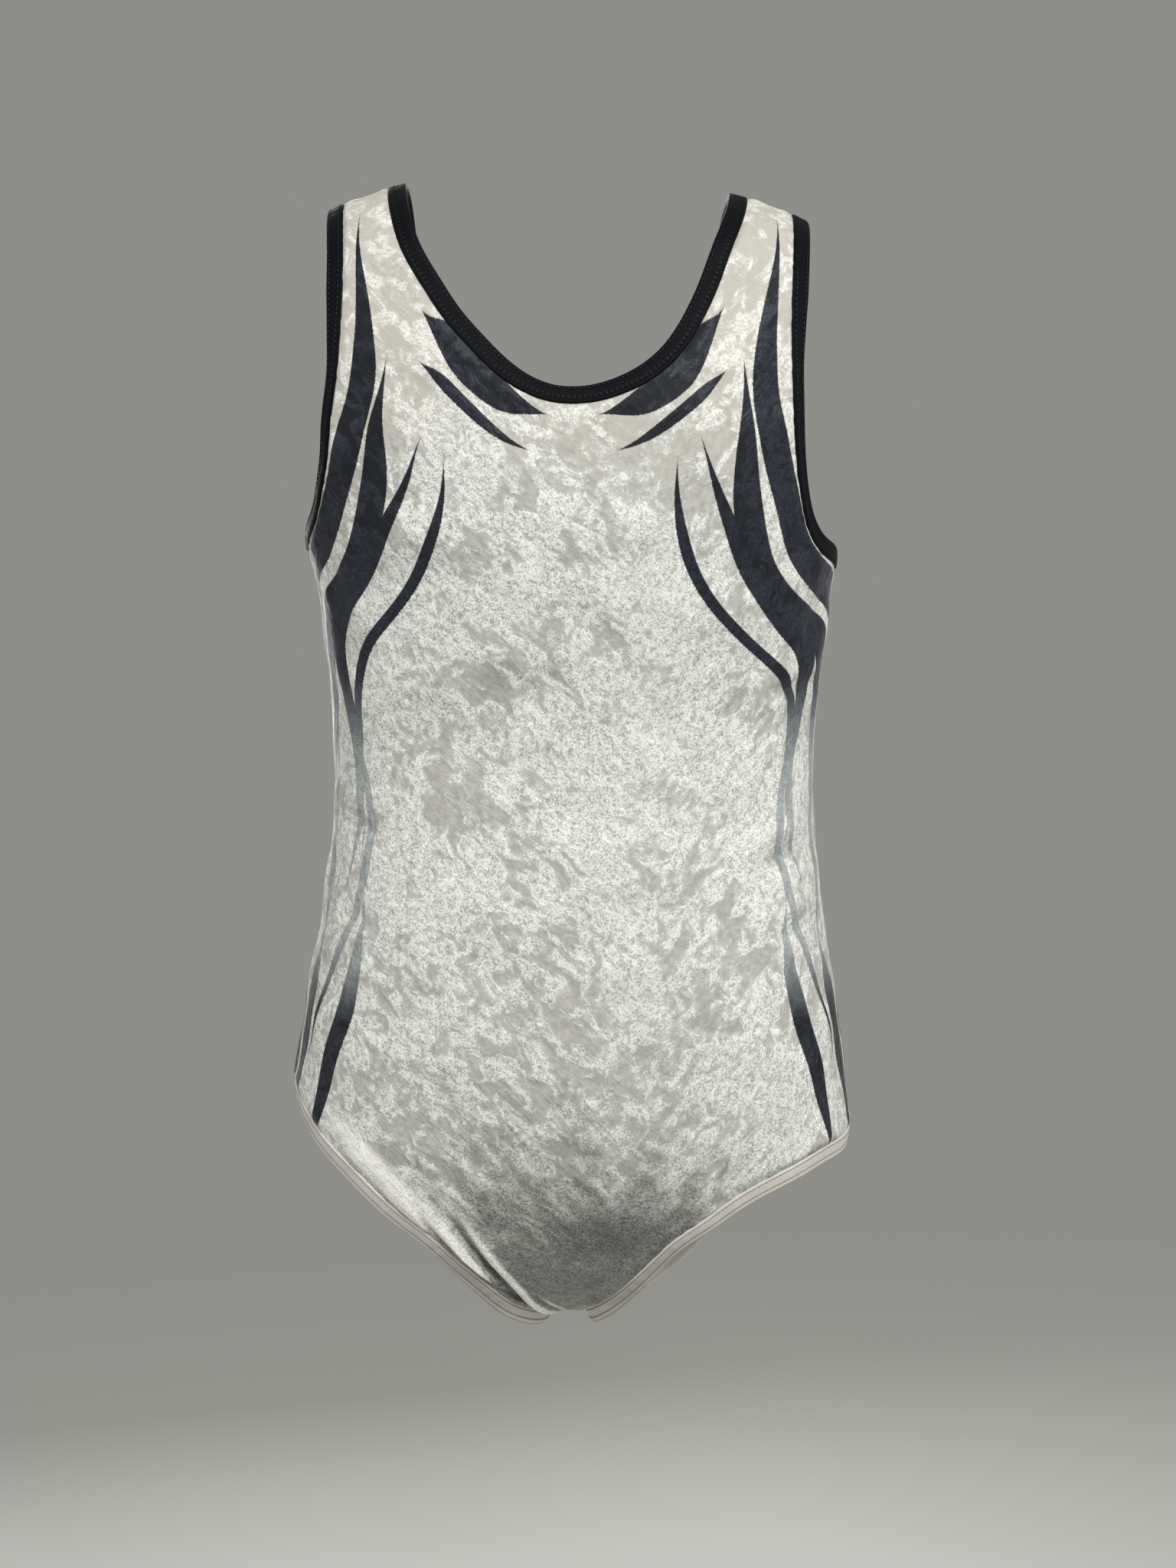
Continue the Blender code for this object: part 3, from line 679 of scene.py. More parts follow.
@dataclass
class Panel:
    """The front or the back: one sheet of velvet, with its seam allowances turned in."""

    name: str
    node: str
    face: Face
    cut: Cut
    drape: Drape
    flat_width: float
    flat_length: float
    flat_area_share: float
    weave: Weave = field(default_factory=Weave)
    thickness: float = 1.3
    seam_gap: float = 0.3
    allowance_depth: float = 3.6
    allowance_thickness: float = 0.8
    allowance_start: float = 0.9
    corner_rounding: float = 9.0
    hold_reach: float = 2.4
    # Painted shade along the neck, armhole and leg edges: its strength and reach.
    edge_shade: float = 1.7
    edge_shade_reach: float = 0.9
    border_samples: int = 400
    border_step: float = 0.4
    side_stations: int = 90
    shoulder_stations: int = 14
    crotch_stations: int = 10
    sharp_angle: float = 55.0

    def centre_levels(self) -> Array:
        """Return the level of the centre line on each row of the trunk."""
        weave = self.weave
        edges = [self.cut.leg(self.face, side, weave.leg_rows)[:, 1] for side in Side]
        leg = np.mean(edges, axis=0) + weave.hip_arch * np.linspace(0.0, 1.0, weave.leg_rows + 1)
        side = np.linspace(leg[-1], weave.centre_level, weave.side_rows + 1)
        share = np.linspace(0.0, 1.0, weave.underarm_rows + 1)
        share = share * (weave.first_share + (1.0 - weave.first_share) * share)
        chest = weave.centre_level + (self.cut.neck_level[self.face] - weave.centre_level) * share
        return np.concatenate([leg, side[1:], chest[1:]])

    def half_rows(self, inner: Array, outer: Array, bend: Array) -> Array:
        """Run rows from an inner edge to an outer edge.

        Args:
            inner: The places that the rows start from.
            outer: The places that they end at.
            bend: 1 where a row leaves the inner edge level and curves, and 0 where it is straight.

        Returns:
            Places by row and by column.
        """
        share = np.linspace(0.0, 1.0, self.weave.columns + 1)[None, :]
        curved = share * share * bend[:, None] + share * (1.0 - bend[:, None])
        angle = inner[:, :1] + (outer[:, :1] - inner[:, :1]) * share
        level = inner[:, 1:] + (outer[:, 1:] - inner[:, 1:]) * curved
        return np.stack([angle, level], axis=-1)

    def armhole(self, side: Side) -> Array:
        """Return the armhole edge of one half, with a place for each row up to the shoulder."""
        return self.cut.arm(self.face, side, self.weave.underarm_rows + self.weave.strap_rows)

    def trunk(self) -> Array:
        """Return the places of the trunk, row by row from the wearer's right to the left."""
        weave = self.weave
        levels = self.centre_levels()
        centre = np.stack([np.zeros(len(levels)), levels], axis=-1)
        bend = np.ones(len(levels))
        bend[-weave.underarm_rows - 1:] = np.linspace(1.0, weave.neck_bend, weave.underarm_rows + 1)
        halves = []
        for side in Side:
            arm = self.armhole(side)[:weave.underarm_rows + 1]
            leg = self.cut.leg(self.face, side, weave.leg_rows)
            seam = self.cut.side_seam(side, weave.side_rows)
            halves.append(self.half_rows(centre, np.concatenate([leg, seam[1:], arm[1:]]), bend))
        return np.concatenate([halves[0][:, :0:-1], halves[1]], axis=1)

    def strap(self, side: Side) -> Array:
        """Return the places of one strap, row by row from the wearer's right to the left."""
        weave = self.weave
        bend = weave.neck_bend * (1.0 - np.linspace(0.0, 1.0, weave.strap_rows + 1)) ** 2
        arm = self.armhole(side)[weave.underarm_rows:]
        grid = self.half_rows(self.cut.half_neck(self.face, side, weave.strap_rows), arm, bend)
        return grid[:, ::-1] if side is Side.RIGHT else grid

    def layout(self) -> tuple[Array, Quads]:
        """Return the places of the whole panel and its faces, which point outwards."""
        trunk = self.trunk()
        width = trunk.shape[1]
        places = [trunk.reshape(-1, 2)]
        quads: Quads = []

        def add_quads(lower: Array, upper: Array) -> None:
            """Fill the space between two rows."""
            block = np.stack([lower[:-1], lower[1:], upper[1:], upper[:-1]], axis=-1)
            quads.extend(map(tuple, (block if self.face is Face.FRONT else block[:, ::-1]).tolist()))

        rows = np.arange(trunk.shape[0] * width).reshape(-1, width)
        for lower, upper in zip(rows, rows[1:]):
            add_quads(lower, upper)
        count = rows.size
        starts = {Side.RIGHT: rows[-1][:self.weave.columns + 1], Side.LEFT: rows[-1][self.weave.columns:]}
        for side, lower in starts.items():
            strap = self.strap(side)[1:]
            places.append(strap.reshape(-1, 2))
            for _ in strap:
                upper = np.arange(count, count + len(lower))
                add_quads(lower, upper)
                lower = upper
                count += len(lower)
        return np.concatenate(places), quads

    def borders(self) -> dict[str, tuple[Edge, Border]]:
        """Return every edge of the panel, by name."""
        figure, face = self.cut.figure, self.face

        def border(places: Array) -> Border:
            """Return an edge as points a small step apart."""
            points = figure.point(face, places)
            gone = travelled(points)
            stops = np.arange(0.0, gone[-1], self.border_step)
            return Border(np.stack([np.interp(stops, gone, column) for column in points.T], axis=-1))

        samples = self.border_samples
        found = {"neck": (Edge.NECK, border(self.cut.neck(face, samples)))}
        for side in Side:
            found["arm_" + side.value] = (Edge.ARMHOLE, border(self.cut.arm(face, side, samples)))
            found["leg_" + side.value] = (Edge.LEG, border(self.cut.leg(face, side, samples)))
            found["side_" + side.value] = (Edge.SEAM, border(self.cut.side_seam(side, samples)))
            found["shoulder_" + side.value] = (Edge.SEAM, border(self.cut.shoulder_seam(side, samples)))
        found["crotch"] = (Edge.SEAM, border(self.cut.crotch_seam(face, samples)))
        return found

    def surface(self, places: Array) -> tuple[Array, dict[str, Array]]:
        """Lay the cloth on the figure.

        Args:
            places: Angles and levels of the points.

        Returns:
            The points of the outer side, and what the velvet's finish reads at each of them: how far it lies
            from the armhole and side seam and from the neck, and how a fold lifts it, less a painted shade
            along the neck, armhole and leg edges.
        """
        figure = self.cut.figure
        base = figure.point(self.face, places)
        fold = self.drape.crease_lift(self.face, base[:, 0], places[:, 1])
        nearest: dict[str, Array] = {}
        bound = np.full(len(base), np.inf)
        edge_lift = np.zeros(len(base))
        shade = np.zeros(len(base))
        for name, (kind, border) in self.borders().items():
            distance, along = border.measure(base)
            nearest[name] = distance
            # Painted shade: a thin dark line on the velvet where the bindings meet it.
            if kind is not Edge.SEAM:
                shade += self.edge_shade * np.exp(-(distance / self.edge_shade_reach) ** 2)
            edge_lift += self.drape.edge_lift(kind, distance, along)
            bound = np.minimum(bound, distance)
        hold = smooth_step(bound / self.hold_reach)
        fold = fold * hold
        lift = fold + self.drape.unevenness(base) * hold + edge_lift
        outer = base + figure.outward(self.face, places) * lift[:, None]
        outer[:, 1] -= self.face.sign * self.seam_gap / 2.0
        bands = []
        for side in Side:
            arm = np.exp(-nearest["arm_" + side.value] / self.corner_rounding)
            seam = np.exp(-nearest["side_" + side.value] / self.corner_rounding)
            bands.append(-self.corner_rounding * np.log(arm + seam))
        marks = {
            "side_distance": np.minimum(*bands),
            "neck_distance": nearest["neck"],
            # The fold mark carries the crease lift less the painted edge shade.
            "fold": fold - shade,
        }
        return outer, marks

    def allowances(self) -> list[bpy.types.Object]:
        """Make the turned-in seam allowances at the sides, the shoulders and the crotch."""
        seams = [self.cut.side_seam(side, self.side_stations) for side in Side]
        seams += [self.cut.shoulder_seam(side, self.shoulder_stations) for side in Side]
        seams.append(self.cut.crotch_seam(self.face, self.crotch_stations))
        made = []
        for index, places in enumerate(seams):
            points = self.cut.figure.point(self.face, places)
            inward = -self.cut.figure.outward(self.face, places)
            inward[:, 1] = 0.0
            inward = unit(inward)
            outward_y = np.array([0.0, -self.face.sign, 0.0])
            near = self.seam_gap / 2.0
            far = near + self.allowance_thickness
            low = self.allowance_start
            high = low + self.allowance_depth
            corners = ((low, near), (high, near), (high, far), (low, far))
            rings = np.stack([points + inward * deep + outward_y * wide for deep, wide in corners], axis=1)
            vertices, faces = sweep(rings, closed=False)
            strip = new_mesh_object(f"{self.name}_allowance_{index}", vertices, faces)
            recalculate_normals(strip)
            made.append(strip)
        return made

    def build(self, velvet: bpy.types.Material, backing: bpy.types.Material) -> bpy.types.Object:
        """Make the sheet, with velvet outside and the plain knit back inside.

        Args:
            velvet: The finish of the outer side.
            backing: The finish of the inner side.

        Returns:
            The finished piece.
        """
        places, quads = self.layout()
        outer, marks = self.surface(places)
        piece = new_mesh_object(self.name, outer, quads)
        store_marks(piece, marks)
        piece.data.materials.append(velvet)
        piece.data.materials.append(backing)
        apply_modifier(piece, "SOLIDIFY", thickness=self.thickness * METRES_PER_MM, offset=-1.0,
                       material_offset=1, material_offset_rim=0)
        strips = self.allowances()
        for strip in strips:
            strip.data.materials.append(backing)
        join_pieces(piece, strips)
        piece.data.set_sharp_from_angle(angle=math.radians(self.sharp_angle))
        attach(piece, BODY)
        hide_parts(self.node)
        return piece

    def declare(self, piece: bpy.types.Object, going: Sequence[bpy.types.Object]) -> None:
        """Do nothing: the panel is not declared as a sheet here."""


class Groove(NamedTuple):
    """A groove along a binding, and the stitches in it."""

    share: float
    depth: float
    half_width: float
    pitch: float
    tilt: float

    def profile(self, share: Array) -> Array:
        """Return how much of its depth the groove has at shares across the binding."""
        return np.exp(-((share - self.share) / self.half_width) ** 2)


@dataclass
class Rail:
    """The line that a binding follows, with its directions."""

    points: Array
    out: Array
    across: Array
    lean: Array

    def __post_init__(self) -> None:
        """Measure along the ring."""
        closed = np.concatenate([self.points, self.points[:1]])
        self.gone = travelled(closed)
        self.length = float(self.gone[-1])
        self.along = unit(np.roll(self.points, -1, axis=0) - np.roll(self.points, 1, axis=0))

    def at(self, name: str, places: Array) -> Array:
        """Return one of the rail's directions, or its points, at distances along the ring."""
        values = getattr(self, name)
        closed = np.concatenate([values, values[:1]])
        if closed.ndim == 1:
            return np.interp(places % self.length, self.gone, closed)
        return np.stack([np.interp(places % self.length, self.gone, column) for column in closed.T], axis=-1)


@dataclass
class Binding:
    """A strip of binding folded over a cut edge and stitched down: one ring."""

    name: str
    node: str
    kind: Edge
    slot: Slot
    cut: Cut
    width: float
    grooves: tuple[Groove, ...]
    leans: tuple[Row, ...]
    side: Side | None = None
    cloth_thickness: float = 1.5
    thickness: float = 2.3
    gap: float = 0.35
    overlap: float = 1.0
    station_step: float = 0.6
    first_steps: int = 200
    fewest_steps: int = 8
    upper_corners: int = 26
    lower_corners: int = 10
    even_corners: float = 0.65
    edge_power: float = 7.0
    lean_start: float = 2.4
    lean_window: float = 14.0
    hinge_share: float = 0.6
    needle_share: float = 0.28
    knob_height: float = 0.0
    knob_length: float = 3.2
    ripple: float = 0.05
    ripple_length: float = 11.0
    ripple_wander: float = 2.0
    wander_rate: float = 0.31
    thread_radius: float = 0.17
    thread_lift: float = 0.6
    sideways_step: float = 0.02
    stitch_share: float = 0.74

    def edge(self, face: Face, count: int) -> Array:
        """Return the places of the edge that the binding covers on a face."""
        if self.kind is Edge.NECK:
            return self.cut.neck(face, count)
        draw = self.cut.arm if self.kind is Edge.ARMHOLE else self.cut.leg
        return draw(face, self.side, count)

    def stretch(self, face: Face) -> Array:
        """Return the edge on a face, divided into even small steps."""
        length = travelled(self.cut.figure.point(face, self.edge(face, self.first_steps)))[-1]
        return self.edge(face, max(self.fewest_steps, round(length / self.station_step)))

    def rail(self) -> Rail:
        """Return the line that the binding follows, with its directions and leans."""
        figure = self.cut.figure
        stretches = [(Face.FRONT, self.stretch(Face.FRONT)), (Face.BACK, self.stretch(Face.BACK)[::-1][1:-1])]
        points = np.concatenate([figure.point(face, places) for face, places in stretches])
        out = np.concatenate([figure.outward(face, places) for face, places in stretches])
        levels = np.concatenate([places[:, 1] for _, places in stretches])
        turn = -1.0 if self.side is None else self.side.sign
        tangents = np.roll(points, -1, axis=0) - np.roll(points, 1, axis=0)
        across = unit(turn * np.cross(tangents, out))
        lean = np.radians(np.interp(levels, [row[0] for row in self.leans], [row[1] for row in self.leans]))
        window = max(3, round(self.lean_window / self.station_step))
        wrapped = np.concatenate([lean[-window:], lean, lean[:window]])
        lean = np.convolve(wrapped, np.ones(window) / window, mode="same")[window:-window]
        return Rail(points - out * self.cloth_thickness / 2.0, out, across, lean)

    def half_height(self, share: Array) -> Array:
        """Return half the binding's thickness, which falls to 0 at its rounded edges."""
        return self.thickness / 2.0 * (1.0 - np.abs(2.0 * share - 1.0) ** self.edge_power) ** 0.5

    def height(self, share: Array, places: Array) -> Array:
        """Return the height of the upper side above the middle.

        Args:
            share: How far across the binding, from the cloth, 0, to the free edge, 1.
            places: How far along the ring.

        Returns:
            The height at each pair.
        """
        height = self.half_height(share)
        for groove in self.grooves:
            wave = np.cos(2.0 * math.pi * places / groove.pitch)
            needle = 1.0 - self.needle_share + self.needle_share * wave
            height = height - groove.depth * needle * groove.profile(share)
        turn = places * 2.0 * math.pi / self.ripple_length
        ripple = np.sin(turn + self.ripple_wander * np.sin(turn * self.wander_rate))
        return height + self.ripple * (ripple * np.sin(math.pi * np.clip(share, 0.0, 1.0)))

    def position(self, rail: Rail, places: Array, share: Array, height: Array) -> Array:
        """Return points of the binding.

        Args:
            rail: The line that the binding follows.
            places: How far along the ring.
            share: How far across the binding.
            height: How far above its middle.

        Returns:
            Points, on the last axis.
        """
        point = rail.at("points", places)
        out = rail.at("out", places)
        across = rail.at("across", places)
        lean = rail.at("lean", places)
        distance = share * (self.width + self.overlap) - self.overlap
        turned = lean * smooth_step((distance + self.overlap) / self.lean_start)
        flat = np.cos(turned)[..., None] * across - np.sin(turned)[..., None] * out
        upright = np.cos(turned)[..., None] * out + np.sin(turned)[..., None] * across
        hinge_gap = self.gap + self.thickness / 2.0 * np.abs(np.sin(lean)) * self.hinge_share
        hinge = point + across * hinge_gap[..., None]
        return hinge + flat * distance[..., None] + upright * height[..., None]

    def knob(self, places: Array) -> Array:
        """Return how much thicker the binding is where its ends are joined, at the start of the ring."""
        away = np.minimum(places, np.abs(places - places.max()))
        return 1.0 + self.knob_height * np.exp(-(away / self.knob_length) ** 2)

    def build(self, finish: bpy.types.Material) -> bpy.types.Object:
        """Make the ring of binding in its finish."""
        rail = self.rail()
        places = rail.gone[:-1]
        upper = 0.5 - 0.5 * np.cos(np.linspace(0.0, math.pi, self.upper_corners))
        even = np.linspace(0.0, 1.0, self.upper_corners)
        upper = (1.0 - self.even_corners) * upper + self.even_corners * even
        lower = 0.5 + 0.5 * np.cos(np.linspace(0.0, math.pi, self.lower_corners + 2))[1:-1]
        rings = []
        swell = self.knob(places)
        for share in upper:
            shares = np.full(len(places), share)
            rings.append(self.position(rail, places, shares, self.height(shares, places) * swell))
        for share in lower:
            shares = np.full(len(places), share)
            rings.append(self.position(rail, places, shares, -self.half_height(shares) * swell))
        stacked = np.stack(rings, axis=1)
        vertices, faces = sweep(stacked, closed=True)
        piece = new_mesh_object(self.name, vertices, faces)
        self.add_cloth_map(piece, rail, upper, lower)
        recalculate_normals(piece)
        piece.data.materials.append(finish)
        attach(piece, BODY)
        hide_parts(self.node)
        return piece

    def add_cloth_map(self, piece: bpy.types.Object, rail: Rail, upper: Array, lower: Array) -> None:
        """Store how far across and along the strip each point lies, and how deep in a groove."""
        shares = np.concatenate([upper, 2.0 - lower])
        store_marks(piece, {
            "strip_across": np.tile(shares * (self.width + self.overlap), len(rail.points)),
            "strip_along": np.repeat(rail.gone[:-1], len(shares)),
            "strip_groove": np.tile(sum(groove.profile(shares) for groove in self.grooves), len(rail.points)),
        })

    def stitches(self, thread: bpy.types.Material) -> bpy.types.Object:
        """Make the rows of stitches that lie in the grooves."""
        rail = self.rail()
        pattern, pattern_faces = stitch_pattern()
        vertices = []
        for groove in self.grooves:
            count = max(self.fewest_steps, round(rail.length / groove.pitch))
            pitch = rail.length / count
            places = (np.arange(count) + 0.5) * pitch
            shares = np.full(count, groove.share)
            bottom = self.height(shares, np.full(count, groove.pitch / 2.0))
            height = bottom + self.thread_radius * self.thread_lift
            centres = self.position(rail, places, shares, height * self.knob(places))
            tops = self.position(rail, places, shares, height * self.knob(places) + 1.0) - centres
            sideways = self.position(rail, places, shares + self.sideways_step, height) - centres
            along = unit(rail.at("along", places))
            upright = unit(tops)
            sideways = unit(sideways - upright * np.sum(sideways * upright, axis=1, keepdims=True))
            tilt = np.radians(groove.tilt) * np.where(np.arange(count) % 2 == 0, 1.0, -1.0)
            forward = along * np.cos(tilt)[:, None] + sideways * np.sin(tilt)[:, None]
            beside = unit(np.cross(upright, forward))
            half_length = pitch * self.stitch_share / 2.0
            shape = (
                centres[:, None] + forward[:, None] * pattern[None, :, :1] * half_length
                + beside[:, None] * pattern[None, :, 1:2] * self.thread_radius
                + upright[:, None] * pattern[None, :, 2:] * self.thread_radius
            )
            vertices.append(shape.reshape(-1, 3))
        stacked = np.concatenate(vertices)
        copies = len(stacked) // len(pattern)
        faces = [tuple(index + copy * len(pattern) for index in face)
                 for copy in range(copies) for face in pattern_faces]
        piece = new_mesh_object(self.name + "_stitches", stacked, faces)
        recalculate_normals(piece)
        piece.data.materials.append(thread)
        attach(piece, BODY)
        return piece


def stitch_pattern(sides: int = 6, bulge: float = 0.25) -> tuple[Array, Quads]:
    """Model one stitch: a rounded rod along X.

    Args:
        sides: The number of its sides, and of its rings.
        bulge: How much thicker it is in the middle than a ball.

    Returns:
        Its points, one unit from the middle to each end and about one unit thick each way, and its faces.
    """
    select_only()
    bpy.ops.mesh.primitive_uv_sphere_add(segments=sides, ring_count=sides, radius=1.0)
    ball = bpy.context.object
    points = np.array([vertex.co for vertex in ball.data.vertices])
    faces = [tuple(face.vertices) for face in ball.data.polygons]
    bpy.data.objects.remove(ball, do_unlink=True)
    rod = points[:, [2, 0, 1]]
    rod[:, 1:] *= 1.0 + bulge * (1.0 - np.abs(rod[:, :1]))
    return rod, faces


class Nodes:
    """A material's node tree, with short calls for the nodes that the finishes use."""

    def __init__(self, name: str) -> None:
        """Start an empty material."""
        self.material = bpy.data.materials.new(name)
        self.material.use_nodes = True
        self.tree = self.material.node_tree
        self.tree.nodes.clear()

    def add(self, kind: str, **settings: object) -> bpy.types.Node:
        """Add a node and set its own properties."""
        node = self.tree.nodes.new("ShaderNode" + kind)
        for key, value in settings.items():
            setattr(node, key, value)
        return node

    def feed(self, socket: Socket, value: object) -> None:
        """Link a socket to another one, or set its value."""
        if isinstance(value, Socket):
            self.tree.links.new(value, socket)
        else:
            socket.default_value = value

    def place(self) -> Socket:
        """Return the object's own coordinates in millimetres."""
        scale = self.add("VectorMath", operation="SCALE")
        self.feed(scale.inputs[0], self.add("TexCoord").outputs["Object"])
        self.feed(scale.inputs["Scale"], MM_PER_METRE)
        return scale.outputs[0]

    def axes(self, vector: Socket) -> bpy.types.NodeOutputs:
        """Return a vector's X, Y and Z, to be taken by name."""
        split = self.add("SeparateXYZ")
        self.feed(split.inputs[0], vector)
        return split.outputs

    def length(self, vector: Socket) -> Socket:
        """Return how long a vector is."""
        node = self.add("VectorMath", operation="LENGTH")
        self.feed(node.inputs[0], vector)
        return node.outputs["Value"]

    def facing_up(self) -> Socket:
        """Return how far the surface faces up: 1 for up, 0 for sideways and -1 for down."""
        return self.axes(self.add("NewGeometry").outputs["Normal"])["Z"]

    def stretch(self, vector: Socket, factors: Point, lean: float = 0.0,
                centre: Point = (0.0, 0.0, 0.0)) -> Socket:
        """Return a vector in which a pattern is longer by factors, leans about Y and starts at a centre."""
        mapping = self.add("Mapping", vector_type="TEXTURE")
        self.feed(mapping.inputs["Vector"], vector)
        mapping.inputs["Location"].default_value = centre
        mapping.inputs["Rotation"].default_value = (0.0, math.radians(lean), 0.0)
        mapping.inputs["Scale"].default_value = factors
        return mapping.outputs[0]

    def attribute(self, name: str) -> Socket:
        """Return a number that the mesh holds at each point."""
        return self.add("Attribute", attribute_name=name).outputs["Fac"]

    def maths(self, operation: str, *values: object) -> Socket:
        """Return the result of a sum on numbers or sockets."""
        node = self.add("Math", operation=operation)
        for socket, value in zip(node.inputs, values):
            self.feed(socket, value)
        return node.outputs[0]

    def noise(self, vector: Socket, size: float, detail: float = 2.0, rough: float = 0.5,
              distortion: float = 0.0) -> Socket:
        """Return a noise whose blotches are about a size across, in millimetres."""
        node = self.add("TexNoise")
        self.feed(node.inputs["Vector"], vector)
        node.inputs["Scale"].default_value = 1.0 / size
        node.inputs["Detail"].default_value = detail
        node.inputs["Roughness"].default_value = rough
        node.inputs["Distortion"].default_value = distortion
        return node.outputs["Fac"]

    def ramp(self, value: object, low: object, high: object, start: float = 0.0,
             end: float = 1.0) -> Socket:
        """Return a soft ramp from start to end as a value goes from low to high."""
        node = self.add("MapRange", interpolation_type="SMOOTHSTEP")
        for name, number in (("Value", value), ("From Min", low), ("From Max", high), ("To Min", start),
                             ("To Max", end)):
            self.feed(node.inputs[name], number)
        return node.outputs[0]

    def blend(self, share: object, first: object, second: object) -> Socket:
        """Return a mix of two colours."""
        node = self.add("Mix", data_type="RGBA")
        colours = [socket for socket in node.inputs if socket.type == "RGBA"]
        self.feed(node.inputs[0], share)
        self.feed(colours[0], first)
        self.feed(colours[1], second)
        return [socket for socket in node.outputs if socket.type == "RGBA"][0]

    def bump(self, height: object, distance: float, normal: Socket | None = None) -> Socket:
        """Return a surface direction bumped by a height that is worth a distance in millimetres."""
        node = self.add("Bump")
        node.inputs["Distance"].default_value = distance * METRES_PER_MM
        node.inputs["Strength"].default_value = 1.0
        self.feed(node.inputs["Height"], height)
        if normal is not None:
            self.feed(node.inputs["Normal"], normal)
        return node.outputs[0]

    def finish(self, **inputs: object) -> bpy.types.Material:
        """Add the shader and the output, and return the material.

        Args:
            inputs: Values for the shader's sockets, with underscores for spaces.

        Returns:
            The finished material.
        """
        shader = self.add("BsdfPrincipled")
        for key, value in inputs.items():
            self.feed(shader.inputs[key.replace("_", " ")], value)
        output = self.add("OutputMaterial")
        self.tree.links.new(shader.outputs[0], output.inputs["Surface"])
        return self.material


def colour(tone: Tone) -> Colour:
    """Return a screen colour, from 0 to 255, as a linear one."""
    def linear(value: int) -> float:
        """Return one channel as linear light."""
        share = value / 255.0
        return share / 12.92 if share <= 0.04045 else ((share + 0.055) / 1.055) ** 2.4

    red, green, blue = map(linear, tone)
    return (red, green, blue, 1.0)


def dimmed(tone: Tone, share: float) -> Colour:
    """Return a linear colour with only a share of a screen colour's light."""
    red, green, blue, _ = colour(tone)
    return (red * share, green * share, blue * share, 1.0)


class Hump(NamedTuple):
    """A stretch of a ribbon: its widest place, its lengths before and after that, and half its width."""

    place: float
    grows: float
    thins: float
    half_width: float


class Ribbon(NamedTuple):
    """One waving ribbon of print: its distance from an edge, how it swings about it, and its stretches."""

    centre: float
    swing: float
    wave_length: float
    shift: float
    humps: tuple[Hump, ...]


class ShadePatch(NamedTuple):
    """A patch of painted shade low on the trunk: its centre, how far it reaches and its strength."""

    centre: Point
    reach: Point
    share: float


class Nap(NamedTuple):
    """One grain of the pile, a noise: the size of its streaks, its detail, roughness, twist and length."""

    size: float
    detail: float
    rough: float
    twist: float
    length: float


@dataclass(frozen=True)
class Pile:
    """What the velvet is like at each point, as sockets.

    The place is in millimetres, with its X and Z, and upper is 1 at the straps. Fleck, tuft and streak are
    grains of growing size. Crush is the height of the crushed cloth. Grainy is 1 where it stands up in
    grains, and light is 1 on the light side of each grain.
    """

    place: Socket
    x: Socket
    z: Socket
    upper: Socket
    fleck: Socket
    tuft: Socket
    streak: Socket
    crush: Socket
    grainy: Socket
    light: Socket


